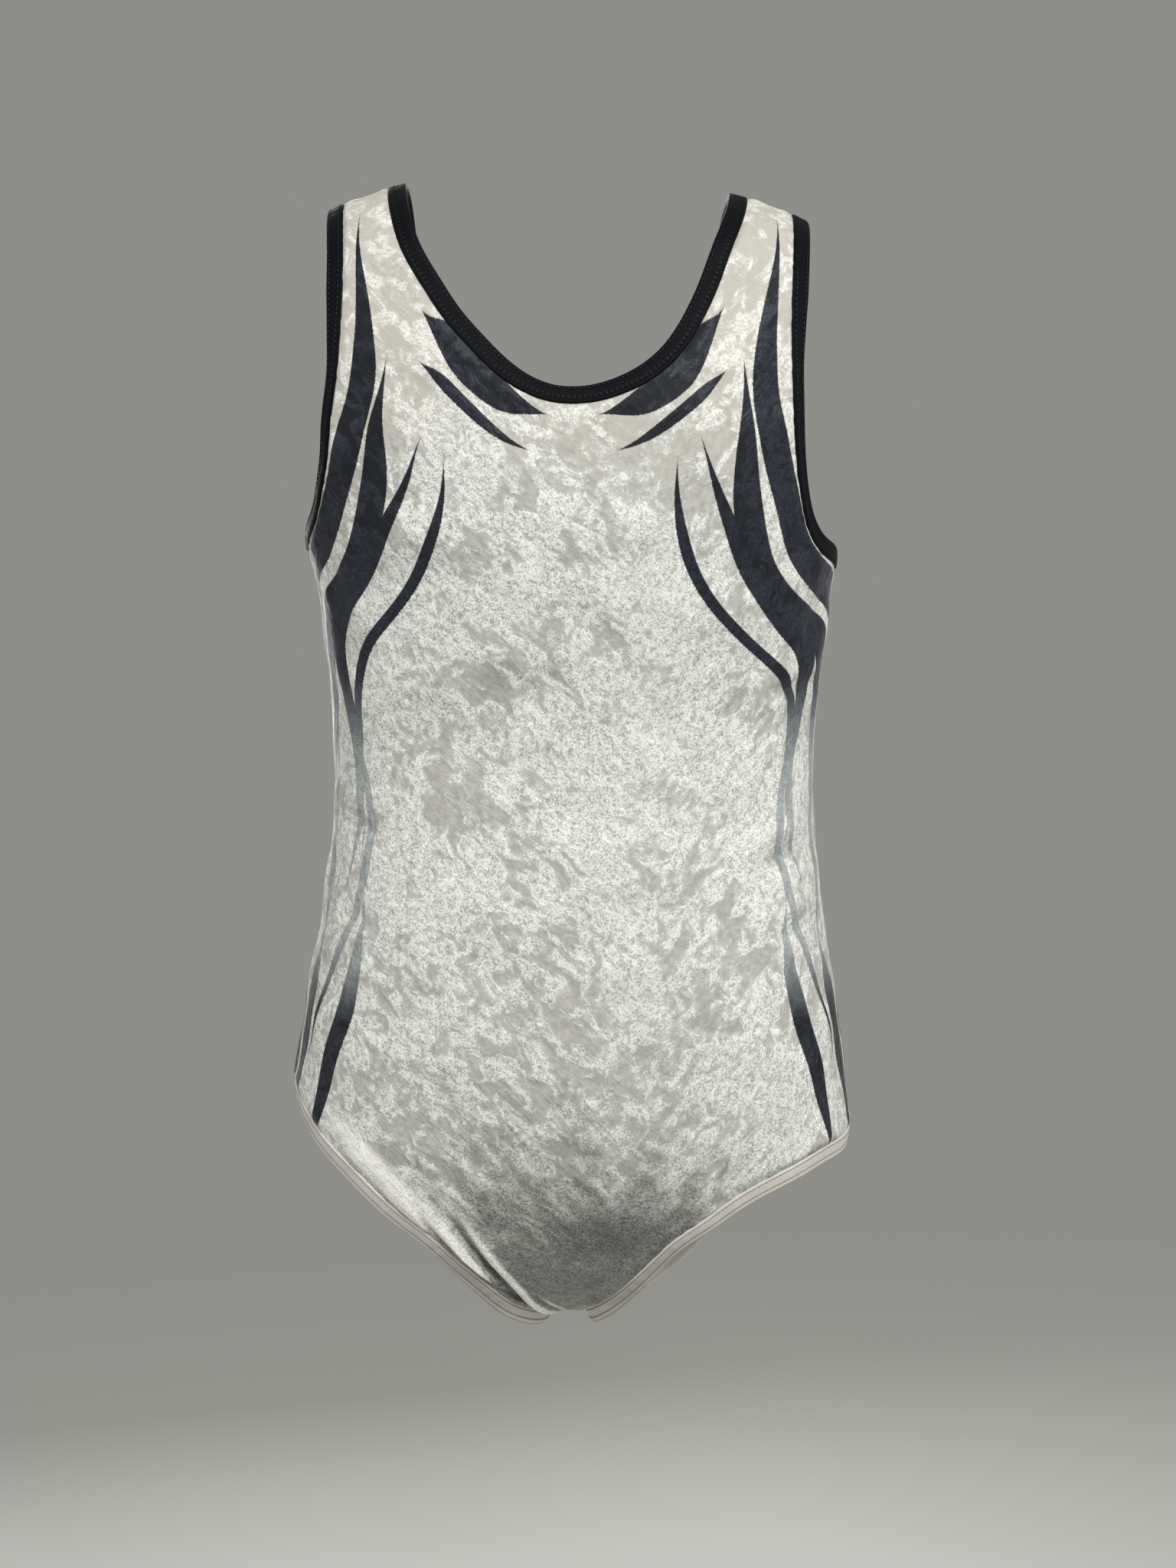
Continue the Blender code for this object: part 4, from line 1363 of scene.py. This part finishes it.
@dataclass(frozen=True)
class VelvetFinish:
    """Crushed silver-ivory velvet, printed with ribbons that wave beside the armholes, sides and neck."""

    name: str = "crushed_velvet"
    smooth_pile: tuple[Tone, Tone] = ((171, 170, 163), (191, 190, 182))
    grainy_pile: tuple[Tone, Tone] = ((156, 157, 151), (245, 247, 241))
    strap_pile: Tone = (190, 186, 176)
    strap_nap: Tone = (232, 229, 220)
    strap_levels: Row = (-160.0, -70.0)
    strap_smoothness: float = 0.06
    strap_shares: Row = (0.85, 0.8)
    tuft_levels: Row = (0.3, 0.7)
    # Painted shade: the dark grainy tones laid on troughs, downward-facing cloth and low patches.
    painted_shade_tones: tuple[Tone, Tone] = ((44, 44, 42), (108, 108, 103))
    # Painted highlight, on the crests of the crushed areas and on the crease ridges.
    painted_highlight: Tone = (250, 249, 244)
    ink: Tone = (17, 20, 27)
    ink_nap: Tone = (50, 55, 70)
    faded_ink: Tone = (112, 124, 128)
    side_ribbons: tuple[Ribbon, ...] = (
        Ribbon(10.5, 2.5, 120.0, 0.4, (Hump(-160.0, 130.0, 150.0, 7.5), Hump(-405.0, 60.0, 60.0, 4.8),
                                         Hump(-305.0, 70.0, 75.0, 3.5))),
        Ribbon(27.0, 4.5, 170.0, 2.2, (Hump(-180.0, 120.0, 100.0, 7.4), Hump(-398.0, 70.0, 55.0, 7.0),
                                         Hump(-300.0, 66.0, 70.0, 4.0))),
        Ribbon(43.0, 6.0, 210.0, 4.0, (Hump(-205.0, 140.0, 92.0, 5.1),)),
        Ribbon(55.0, 6.0, 190.0, 1.0, (Hump(-190.0, 150.0, 66.0, 3.0), Hump(-402.0, 60.0, 80.0, 5.3))),
        Ribbon(46.0, -11.0, 230.0, 0.6, (Hump(-322.0, 110.0, 95.0, 2.6),)),
    )
    neck_ribbons: tuple[Ribbon, ...] = (
        Ribbon(6.0, 0.0, 60.0, 0.0, (Hump(46.0, 38.0, 22.0, 7.5),)),
        Ribbon(21.0, 2.0, 70.0, 0.0, (Hump(50.0, 36.0, 20.0, 3.0),)),
    )
    fade_levels: tuple[Row, Row] = ((-285.0, -225.0), (-390.0, -345.0))
    fade_clearness: float = 0.4
    fray: float = 0.8
    ink_edge: float = 0.45
    ink_nap_share: float = 0.7
    leans: Row = (-46.0, 38.0)
    lean_turn: Row = (-10.0, 70.0)
    crush: Nap = Nap(9.5, 4.0, 0.6, 0.9, 1.6)
    tuft: Nap = Nap(2.6, 2.0, 0.55, 0.3, 1.5)
    streak: Nap = Nap(6.5, 3.0, 0.5, 0.6, 3.2)
    fleck_size: float = 0.85
    region_size: float = 60.0
    region_weight: float = 0.42
    dimple_size: float = 3.2
    dimple_weight: float = 0.16
    tuft_weight: float = 0.34
    fleck_weight: float = 0.66
    grainy_levels: Row = (0.66, 0.8)
    light_levels: Row = (0.33, 0.66)
    # Painted highlight along the crests of the crushed areas.
    rim_height: float = 0.8
    rim_width: float = 0.035
    rim_highlight_share: float = 0.45
    # Painted shade in the crease troughs and along the bound edges, with its grain.
    fold_shade_levels: Row = (-0.5, -2.4)
    fold_shade_share: float = 0.8
    shade_grain_levels: Row = (0.36, 0.64)
    # Painted shade on cloth that faces down.
    downward_shade_start: float = 0.3
    downward_shade_streak: float = 0.6
    downward_shade_levels: Row = (-0.02, -0.62)
    downward_shade_share: float = 0.6
    # Painted shade in soft patches low on the trunk.
    shade_patch_streak: float = 1.6
    shade_patch_levels: Row = (1.9, 1.1)
    # Painted highlight on the crease ridges, in flecks.
    ridge_highlight_levels: Row = (0.15, 1.0)
    ridge_highlight_flecks: Row = (0.34, 0.6)
    ridge_highlight_shares: Row = (0.45, 0.9)
    line_width: float = 0.05
    line_levels: Row = (-330.0, -430.0)
    line_heights: Row = (0.02, 0.11)
    crush_relief: float = 1.6
    tuft_relief: float = 0.7
    streak_depth: float = 1.0
    crush_depth: float = 0.42
    fleck_depth: float = 0.17
    # Painted shade in soft patches low on the trunk, front and back alike.
    painted_shade_patches: tuple[ShadePatch, ...] = (
        ShadePatch((4.0, 0.0, -494.0), (100.0, 1000.0, 84.0), 0.32),
        ShadePatch((10.0, 0.0, -494.0), (66.0, 1000.0, 56.0), 0.26),
        ShadePatch((30.0, 0.0, -480.0), (46.0, 1000.0, 30.0), 0.4),
        ShadePatch((-24.0, 0.0, -456.0), (46.0, 1000.0, 34.0), 0.2),
        ShadePatch((0.0, 0.0, -450.0), (150.0, 1000.0, 170.0), 0.09),
    )
    roughness: Row = (0.62, 0.46)
    sheen: float = 0.14
    sheen_roughness: float = 0.3
    gloss: float = 0.25

    def make(self) -> bpy.types.Material:
        """Make the velvet's material."""
        nodes = Nodes(self.name)
        pile = self.pile(nodes)
        cloth = self.fold_tone(nodes, pile, self.pile_tone(nodes, pile))
        rough = nodes.ramp(pile.grainy, 0.0, 1.0, *self.roughness)
        return nodes.finish(Base_Color=self.print_tone(nodes, pile, cloth), Roughness=rough,
                            Normal=self.relief(nodes, pile), Sheen_Weight=self.sheen,
                            Sheen_Roughness=self.sheen_roughness, Specular_IOR_Level=self.gloss)

    def pile(self, nodes: Nodes) -> Pile:
        """Work out the grains of the pile, and where they stand up."""
        place = nodes.place()
        axes = nodes.axes(place)
        leaning = nodes.ramp(axes["X"], *self.lean_turn)

        def slanted(nap: Nap) -> Socket:
            """Return a grain whose streaks slant towards the crotch on either side."""
            leant = [nodes.stretch(place, (1.0, 1.0, nap.length), lean) for lean in self.leans]
            right, left = (nodes.noise(way, nap.size, nap.detail, nap.rough, nap.twist) for way in leant)
            change = nodes.maths("MULTIPLY", leaning, nodes.maths("SUBTRACT", left, right))
            return nodes.maths("ADD", right, change)

        upper = nodes.ramp(axes["Z"], *self.strap_levels)
        fleck = nodes.noise(place, self.fleck_size, 2.0, 0.6)
        tuft = slanted(self.tuft)
        region = nodes.noise(place, self.region_size, 1.0)
        dimple = nodes.noise(place, self.dimple_size, 1.0)
        crush = nodes.maths("MULTIPLY_ADD", region, self.region_weight, slanted(self.crush))
        crush = nodes.maths("MULTIPLY_ADD", dimple, self.dimple_weight, crush)
        crush = nodes.maths("MULTIPLY_ADD", upper, -self.strap_smoothness, crush)
        grain = nodes.maths("MULTIPLY_ADD", tuft, self.tuft_weight,
                            nodes.maths("MULTIPLY", fleck, self.fleck_weight))
        return Pile(place, axes["X"], axes["Z"], upper, fleck, tuft, slanted(self.streak), crush,
                    nodes.ramp(crush, *self.grainy_levels), nodes.ramp(grain, *self.light_levels))

    def pile_tone(self, nodes: Nodes, pile: Pile) -> Socket:
        """Return the bare velvet's tone: smooth and grainy areas, with a painted highlight where they meet.
        """
        smooth = nodes.blend(nodes.ramp(pile.tuft, *self.tuft_levels), *map(colour, self.smooth_pile))
        smooth_share, grainy_share = (nodes.maths("MULTIPLY", pile.upper, most) for most in self.strap_shares)
        smooth = nodes.blend(smooth_share, smooth, colour(self.strap_pile))
        dark = nodes.blend(grainy_share, colour(self.grainy_pile[0]), colour(self.strap_pile))
        light = nodes.blend(grainy_share, colour(self.grainy_pile[1]), colour(self.strap_nap))
        cloth = nodes.blend(pile.grainy, smooth, nodes.blend(pile.light, dark, light))
        # Painted highlight: a thin bright line along the crests of the crushed areas.
        off_rim = nodes.maths("ABSOLUTE", nodes.maths("SUBTRACT", pile.crush, self.rim_height))
        rim = nodes.ramp(off_rim, 0.0, self.rim_width, self.rim_highlight_share, 0.0)
        return nodes.blend(rim, cloth, colour(self.painted_highlight))

    def fold_tone(self, nodes: Nodes, pile: Pile, cloth: Socket) -> Socket:
        """Paint shade in troughs, on downward-facing cloth and in low patches, and highlights on ridges."""
        fold = nodes.attribute("fold")
        # Painted shade: a dark grainy tone.
        painted_shade = nodes.blend(nodes.ramp(pile.fleck, *self.shade_grain_levels), *map(colour, self.painted_shade_tones))
        # Painted shade in the crease troughs and along the bound edges.
        cloth = nodes.blend(nodes.ramp(fold, *self.fold_shade_levels, 0.0, self.fold_shade_share), cloth, painted_shade)
        # Painted shade on cloth that faces down, broken up by the streaks.
        tilt = nodes.maths("SUBTRACT", nodes.facing_up(), self.downward_shade_start)
        tilt = nodes.maths("MULTIPLY_ADD", pile.streak, self.downward_shade_streak, tilt)
        cloth = nodes.blend(nodes.ramp(tilt, *self.downward_shade_levels, 0.0, self.downward_shade_share), cloth, painted_shade)
        # Painted shade in soft patches low on the trunk, near the crotch.
        for patch in self.painted_shade_patches:
            away = nodes.length(nodes.stretch(pile.place, patch.reach, 0.0, patch.centre))
            away = nodes.maths("MULTIPLY_ADD", pile.streak, self.shade_patch_streak, away)
            cloth = nodes.blend(nodes.ramp(away, *self.shade_patch_levels, 0.0, patch.share), cloth, painted_shade)
        # Painted highlight on the crease ridges, in flecks.
        gloss = nodes.maths("MULTIPLY", nodes.ramp(fold, *self.ridge_highlight_levels),
                            nodes.ramp(pile.fleck, *self.ridge_highlight_flecks, *self.ridge_highlight_shares))
        return nodes.blend(gloss, cloth, colour(self.painted_highlight))

    def print_tone(self, nodes: Nodes, pile: Pile, cloth: Socket) -> Socket:
        """Lay the ribbons over the cloth's tone: navy, and faded at the waist."""
        above, below = self.fade_levels
        fade = nodes.maths("MULTIPLY", nodes.ramp(pile.z, *above, 1.0, 0.0), nodes.ramp(pile.z, *below))
        lit = nodes.maths("MULTIPLY", nodes.maths("MULTIPLY", pile.grainy, pile.light), self.ink_nap_share)
        ink = nodes.blend(lit, colour(self.ink), colour(self.ink_nap))
        ink = nodes.blend(fade, ink, colour(self.faded_ink))
        cover = nodes.maths("MULTIPLY_ADD", fade, -self.fade_clearness, 1.0)
        return nodes.blend(nodes.maths("MULTIPLY", self.ink_share(nodes, pile), cover), cloth, ink)

    def relief(self, nodes: Nodes, pile: Pile) -> Socket:
        """Return the surface's direction: streaks with fine lines, crushed areas and flecks."""
        off_line = nodes.maths("ABSOLUTE", nodes.maths("SUBTRACT", pile.streak, 0.5))
        line = nodes.maths("MULTIPLY", nodes.ramp(off_line, 0.0, self.line_width, 1.0, 0.0),
                           nodes.ramp(pile.z, *self.line_levels, *self.line_heights))
        tufts = nodes.maths("MULTIPLY", pile.tuft, self.tuft_relief)
        height = nodes.maths("MULTIPLY_ADD", pile.crush, self.crush_relief, tufts)
        normal = nodes.bump(nodes.maths("ADD", line, pile.streak), self.streak_depth)
        normal = nodes.bump(height, self.crush_depth, normal)
        return nodes.bump(pile.fleck, self.fleck_depth, normal)

    def ink_share(self, nodes: Nodes, pile: Pile) -> Socket:
        """Return how much ink covers each point: 1 in the ribbons and 0 beside them."""
        fray = nodes.maths("MULTIPLY_ADD", pile.fleck, self.fray, -self.fray / 2.0)
        side = nodes.maths("ADD", fray, nodes.attribute("side_distance"))
        neck = nodes.maths("ADD", fray, nodes.attribute("neck_distance"))
        first = self.ribbon_share(nodes, side, pile.z, self.side_ribbons)
        second = self.ribbon_share(nodes, neck, nodes.maths("ABSOLUTE", pile.x), self.neck_ribbons)
        return nodes.maths("MAXIMUM", first, second)

    def ribbon_share(self, nodes: Nodes, distance: Socket, along: Socket,
                     ribbons: Sequence[Ribbon]) -> Socket:
        """Return where ribbons lie.

        Args:
            nodes: The material's nodes.
            distance: How far each point lies from the edge that the ribbons follow.
            along: The place of each point along them.
            ribbons: The ribbons.

        Returns:
            1 inside the ribbons and 0 outside.
        """
        ink: object = 0.0
        for ribbon in ribbons:
            turn = nodes.maths("MULTIPLY_ADD", along, 2.0 * math.pi / ribbon.wave_length, ribbon.shift)
            middle = nodes.maths("MULTIPLY_ADD", nodes.maths("SINE", turn), ribbon.swing, ribbon.centre)
            width: object = 0.0
            for hump in ribbon.humps:
                grows = nodes.ramp(along, hump.place - hump.grows, hump.place)
                thins = nodes.ramp(along, hump.place, hump.place + hump.thins, 1.0, 0.0)
                rise = nodes.maths("MULTIPLY", nodes.maths("MULTIPLY", grows, thins), math.pi / 2.0)
                width = nodes.maths("MULTIPLY_ADD", nodes.maths("SINE", rise), hump.half_width, width)
            off = nodes.maths("ABSOLUTE", nodes.maths("SUBTRACT", distance, middle))
            inside = nodes.maths("SUBTRACT", width, off)
            ink = nodes.maths("MAXIMUM", ink, nodes.ramp(inside, 0.0, self.ink_edge))
        return ink


@dataclass(frozen=True)
class BackingFinish:
    """The plain knit side of the velvet, matt and with an even grain."""

    name: str = "velvet_backing"
    tone: Tone = (196, 193, 186)
    shade: float = 0.8
    wash_size: float = 18.0
    grain_size: float = 0.7
    grain_length: float = 2.2
    weight: float = 0.4
    grain_depth: float = 0.12
    roughness: float = 0.85
    gloss: float = 0.2

    def make(self) -> bpy.types.Material:
        """Make the backing's material."""
        nodes = Nodes(self.name)
        place = nodes.place()
        wash = nodes.noise(place, self.wash_size, 2.0)
        grain = nodes.noise(nodes.stretch(place, (1.0, 1.0, self.grain_length)), self.grain_size, 2.0, 0.6)
        share = nodes.maths("MULTIPLY_ADD", wash, self.weight, nodes.maths("MULTIPLY", grain, self.weight))
        shown = nodes.blend(share, dimmed(self.tone, self.shade), colour(self.tone))
        return nodes.finish(Base_Color=shown, Roughness=self.roughness,
                            Normal=nodes.bump(grain, self.grain_depth), Specular_IOR_Level=self.gloss)


@dataclass(frozen=True)
class BindingFinish:
    """Stretch knit binding, with fine ribs along the strip, and painted shade in its grooves and underneath.
    """

    name: str
    tone: Tone
    lighter: Tone
    roughness: float
    sheen: float
    gloss: float
    shade: float
    # Painted shade: how dark the grooves and the downward-facing strip are painted.
    tape_shade_strength: float = 0.3
    groove_levels: Row = (0.2, 1.0)
    groove_shade: float = 0.6
    shade_levels: Row = (-0.36, -0.8)
    wash_size: float = 9.0
    grain_size: float = 0.6
    tone_levels: Row = (0.2, 0.85)
    sheen_roughness: float = 0.4
    rib_pitch: float = 0.75
    course_pitch: float = 0.55
    rib_depth: float = 0.06
    grain_depth: float = 0.05

    def make(self) -> bpy.types.Material:
        """Make the binding's material."""
        nodes = Nodes(self.name)
        place = nodes.place()
        across = nodes.attribute("strip_across")
        along = nodes.attribute("strip_along")
        rib = nodes.maths("SINE", nodes.maths("MULTIPLY", across, 2.0 * math.pi / self.rib_pitch))
        course = nodes.maths("SINE", nodes.maths("MULTIPLY", along, 2.0 * math.pi / self.course_pitch))
        knit = nodes.maths("MULTIPLY_ADD", nodes.maths("MULTIPLY", rib, course), 0.5,
                           nodes.maths("MULTIPLY_ADD", rib, 0.25, 0.5))
        wash = nodes.noise(place, self.wash_size, 3.0, 0.6)
        grain = nodes.noise(place, self.grain_size, 2.0, 0.7)
        share = nodes.maths("MULTIPLY_ADD", wash, 0.6, nodes.maths("MULTIPLY", grain, 0.5))
        share = nodes.maths("MULTIPLY", share, nodes.maths("MULTIPLY_ADD", knit, 0.5, 0.5))
        shown = nodes.blend(nodes.ramp(share, *self.tone_levels), colour(self.tone), colour(self.lighter))
        # Painted shade in the grooves.
        tape_shade_tone = dimmed(self.tone, self.tape_shade_strength)
        sunk = nodes.ramp(nodes.attribute("strip_groove"), *self.groove_levels, 0.0, self.groove_shade)
        shown = nodes.blend(sunk, shown, tape_shade_tone)
        # Painted shade where the strip faces down.
        under = nodes.ramp(nodes.facing_up(), *self.shade_levels, 0.0, self.shade)
        shown = nodes.blend(under, shown, tape_shade_tone)
        normal = nodes.bump(knit, self.rib_depth)
        normal = nodes.bump(grain, self.grain_depth, normal)
        return nodes.finish(Base_Color=shown, Roughness=self.roughness, Normal=normal,
                            Sheen_Weight=self.sheen, Sheen_Roughness=self.sheen_roughness,
                            Specular_IOR_Level=self.gloss)


@dataclass(frozen=True)
class ThreadFinish:
    """Stitching thread."""

    name: str
    tone: Tone
    shade: float = 0.6
    grain_size: float = 0.25
    grain_depth: float = 0.04
    roughness: float = 0.45
    gloss: float = 0.5

    def make(self) -> bpy.types.Material:
        """Make the thread's material."""
        nodes = Nodes(self.name)
        grain = nodes.noise(nodes.place(), self.grain_size, 2.0, 0.6)
        shown = nodes.blend(grain, dimmed(self.tone, self.shade), colour(self.tone))
        return nodes.finish(Base_Color=shown, Roughness=self.roughness,
                            Normal=nodes.bump(grain, self.grain_depth), Specular_IOR_Level=self.gloss)


class Light(NamedTuple):
    """A square soft light: where it hangs, where it points, its size and its power."""

    name: str
    place_m: Point
    aim_m: Point
    size_m: float
    power_w: float


@dataclass(frozen=True)
class Studio:
    """A pale floor, soft lights and the camera at the photograph's angle."""

    floor_z_m: float = -1.15
    floor_radius_m: float = 3.2
    floor_corners: int = 96
    floor_fade: Row = (0.3, 0.95)
    floor_roughness: float = 0.7
    floor_tone: Tone = (205, 204, 200)
    wall_tone: Tone = (142, 142, 138)
    wall_strength: float = 1.0
    image_height: float = 2048.0
    focal_length_px: float = 2900.0
    sensor_mm: float = 36.0
    camera_place_m: Point = (-0.0095, -1.06, -0.176)
    camera_pitch: float = 5.8
    camera_yaw: float = 0.93
    lights: tuple[Light, ...] = (
        Light("key", (0.6, -2.2, 1.75), (0.0, 0.0, -0.28), 1.5, 78.0),
        Light("right_side", (-1.2, -0.45, 0.15), (0.0, 0.0, -0.3), 0.8, 4.0),
        Light("left_side", (1.2, -0.3, 0.1), (0.0, 0.0, -0.3), 0.8, 4.0),
        Light("behind", (-0.3, 1.2, 0.0), (0.0, 0.0, -0.25), 0.9, 13.0),
    )

    def floor(self) -> None:
        """Lay a round floor that fades into the surroundings at its rim."""
        select_only()
        bpy.ops.mesh.primitive_circle_add(vertices=self.floor_corners, radius=self.floor_radius_m,
                                          fill_type="TRIFAN", location=(0.0, 0.0, self.floor_z_m))
        floor = bpy.context.object
        floor.name = "studio_floor"
        nodes = Nodes("studio_floor")
        away = nodes.length(nodes.add("TexCoord").outputs["Object"])
        shader = nodes.add("BsdfPrincipled")
        shader.inputs["Base Color"].default_value = colour(self.floor_tone)
        shader.inputs["Roughness"].default_value = self.floor_roughness
        clear = nodes.add("BsdfTransparent")
        mixed = nodes.add("MixShader")
        start, end = (self.floor_radius_m * share for share in self.floor_fade)
        nodes.feed(mixed.inputs[0], nodes.ramp(away, start, end))
        nodes.tree.links.new(shader.outputs[0], mixed.inputs[1])
        nodes.tree.links.new(clear.outputs[0], mixed.inputs[2])
        nodes.tree.links.new(mixed.outputs[0], nodes.add("OutputMaterial").inputs["Surface"])
        floor.data.materials.append(nodes.material)

    def surroundings(self) -> None:
        """Give the scene a plain grey surround."""
        world = bpy.data.worlds.new("studio_surround")
        world.use_nodes = True
        background = world.node_tree.nodes["Background"]
        background.inputs["Color"].default_value = colour(self.wall_tone)
        background.inputs["Strength"].default_value = self.wall_strength
        bpy.context.scene.world = world

    @staticmethod
    def hang(light: Light) -> None:
        """Hang a light and turn it to its aim."""
        data = bpy.data.lights.new(light.name, "AREA")
        data.shape = "SQUARE"
        data.size = light.size_m
        data.energy = light.power_w
        lamp = bpy.data.objects.new(light.name, data)
        bpy.context.collection.objects.link(lamp)
        lamp.location = light.place_m
        aim = Vector(light.aim_m) - Vector(light.place_m)
        lamp.rotation_euler = aim.to_track_quat("-Z", "Y").to_euler()

    def camera(self) -> None:
        """Place the camera as in the photograph."""
        data = bpy.data.cameras.new("camera")
        data.sensor_fit = "VERTICAL"
        data.sensor_height = self.sensor_mm
        data.lens = self.sensor_mm * self.focal_length_px / self.image_height
        data.clip_start = 0.01
        camera = bpy.data.objects.new("camera", data)
        bpy.context.collection.objects.link(camera)
        camera.location = self.camera_place_m
        camera.rotation_euler = (math.radians(90.0 - self.camera_pitch), 0.0, math.radians(-self.camera_yaw))
        bpy.context.scene.camera = camera

    def build(self) -> None:
        """Set up the whole studio."""
        self.floor()
        self.surroundings()
        for light in self.lights:
            self.hang(light)
        self.camera()
        bpy.context.scene.view_settings.view_transform = "Standard"


@dataclass
class Leotard:
    """The whole garment: two panels and five bindings."""

    cut: Cut
    drape: Drape = field(default_factory=Drape)
    neck_leans: tuple[Row, ...] = ((-110.0, 20.0), (-95.0, 14.0), (-60.0, 6.0), (30.0, 4.0))
    arm_leans: tuple[Row, ...] = ((-182.0, 6.0), (-150.0, 26.0), (-90.0, 34.0), (-55.0, 14.0), (30.0, 4.0))
    leg_leans: tuple[Row, ...] = (
        (-595.0, -62.0), (-560.0, -56.0), (-530.0, -14.0), (-500.0, 10.0), (-420.0, 10.0),
    )
    dark_width: float = 8.0
    cream_width: float = 7.8
    neck_grooves: tuple[Groove, ...] = (
        Groove(0.27, 0.26, 0.05, 2.5, 0.0),
        Groove(0.37, 0.16, 0.04, 2.5, 0.0),
        Groove(0.82, 0.14, 0.05, 2.5, 0.0),
    )
    arm_grooves: tuple[Groove, ...] = (
        Groove(0.22, 0.24, 0.05, 2.5, 0.0),
        Groove(0.78, 0.26, 0.05, 2.5, 0.0),
    )
    leg_grooves: tuple[Groove, ...] = (
        Groove(0.16, 0.28, 0.045, 2.0, 20.0),
        Groove(0.68, 0.34, 0.05, 2.0, 0.0),
    )

    def panels(self) -> list[Panel]:
        """Return the front and the back."""
        return [
            Panel("front_velvet", "front_panel", Face.FRONT, self.cut, self.drape, flat_width=335.0,
                  flat_length=540.0, flat_area_share=0.6),
            Panel("back_velvet", "back_panel", Face.BACK, self.cut, self.drape, flat_width=335.0,
                  flat_length=545.0, flat_area_share=0.62),
        ]

    def bindings(self) -> list[Binding]:
        """Return the neck, armhole and leg bindings."""
        made = [Binding("neck_tape", "neck_binding", Edge.NECK, Slot.DARK, self.cut, self.dark_width,
                        self.neck_grooves, self.neck_leans)]
        for side in Side:
            made.append(Binding("armhole_tape_" + side.value, "armhole_binding_" + side.value, Edge.ARMHOLE,
                                Slot.DARK, self.cut, self.dark_width, self.arm_grooves, self.arm_leans, side,
                                knob_height=1.3))
            made.append(Binding("leg_tape_" + side.value, "leg_binding_" + side.value, Edge.LEG, Slot.CREAM,
                                self.cut, self.cream_width, self.leg_grooves, self.leg_leans, side,
                                knob_height=0.45 if side is Side.LEFT else 0.2))
        return made

    def build(self) -> None:
        velvet = VelvetFinish().make()
        backing = BackingFinish().make()
        tapes = {
            Slot.DARK: BindingFinish("dark_binding", (4, 6, 9), (12, 16, 22), roughness=0.5, sheen=0.0,
                                     gloss=0.08, shade=0.2).make(),
            Slot.CREAM: BindingFinish("cream_binding", (200, 195, 188), (232, 228, 221), roughness=0.62,
                                      sheen=0.1, gloss=0.3, shade=0.8).make(),
        }
        threads = {
            Slot.DARK: ThreadFinish("dark_thread", (14, 17, 24)).make(),
            Slot.CREAM: ThreadFinish("cream_thread", (176, 170, 158)).make(),
        }
        going = []
        for binding in self.bindings():
            tape = binding.build(tapes[binding.slot])
            rows = binding.stitches(threads[binding.slot])
            going += [tape, rows]
            LOG.info("%s: %d faces, stitches: %d faces", tape.name, len(tape.data.polygons),
                     len(rows.data.polygons))
        for panel in self.panels():
            piece = panel.build(velvet, backing)
            panel.declare(piece, going if panel.face is Face.FRONT else ())
            LOG.info("%s: %d faces", piece.name, len(piece.data.polygons))


def main() -> None:
    """Build the leotard and the studio."""
    logging.basicConfig(level=logging.INFO, format="%(message)s")
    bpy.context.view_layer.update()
    Leotard(Cut(Figure())).build()
    Studio().build()


if __name__ == "__main__":
    main()
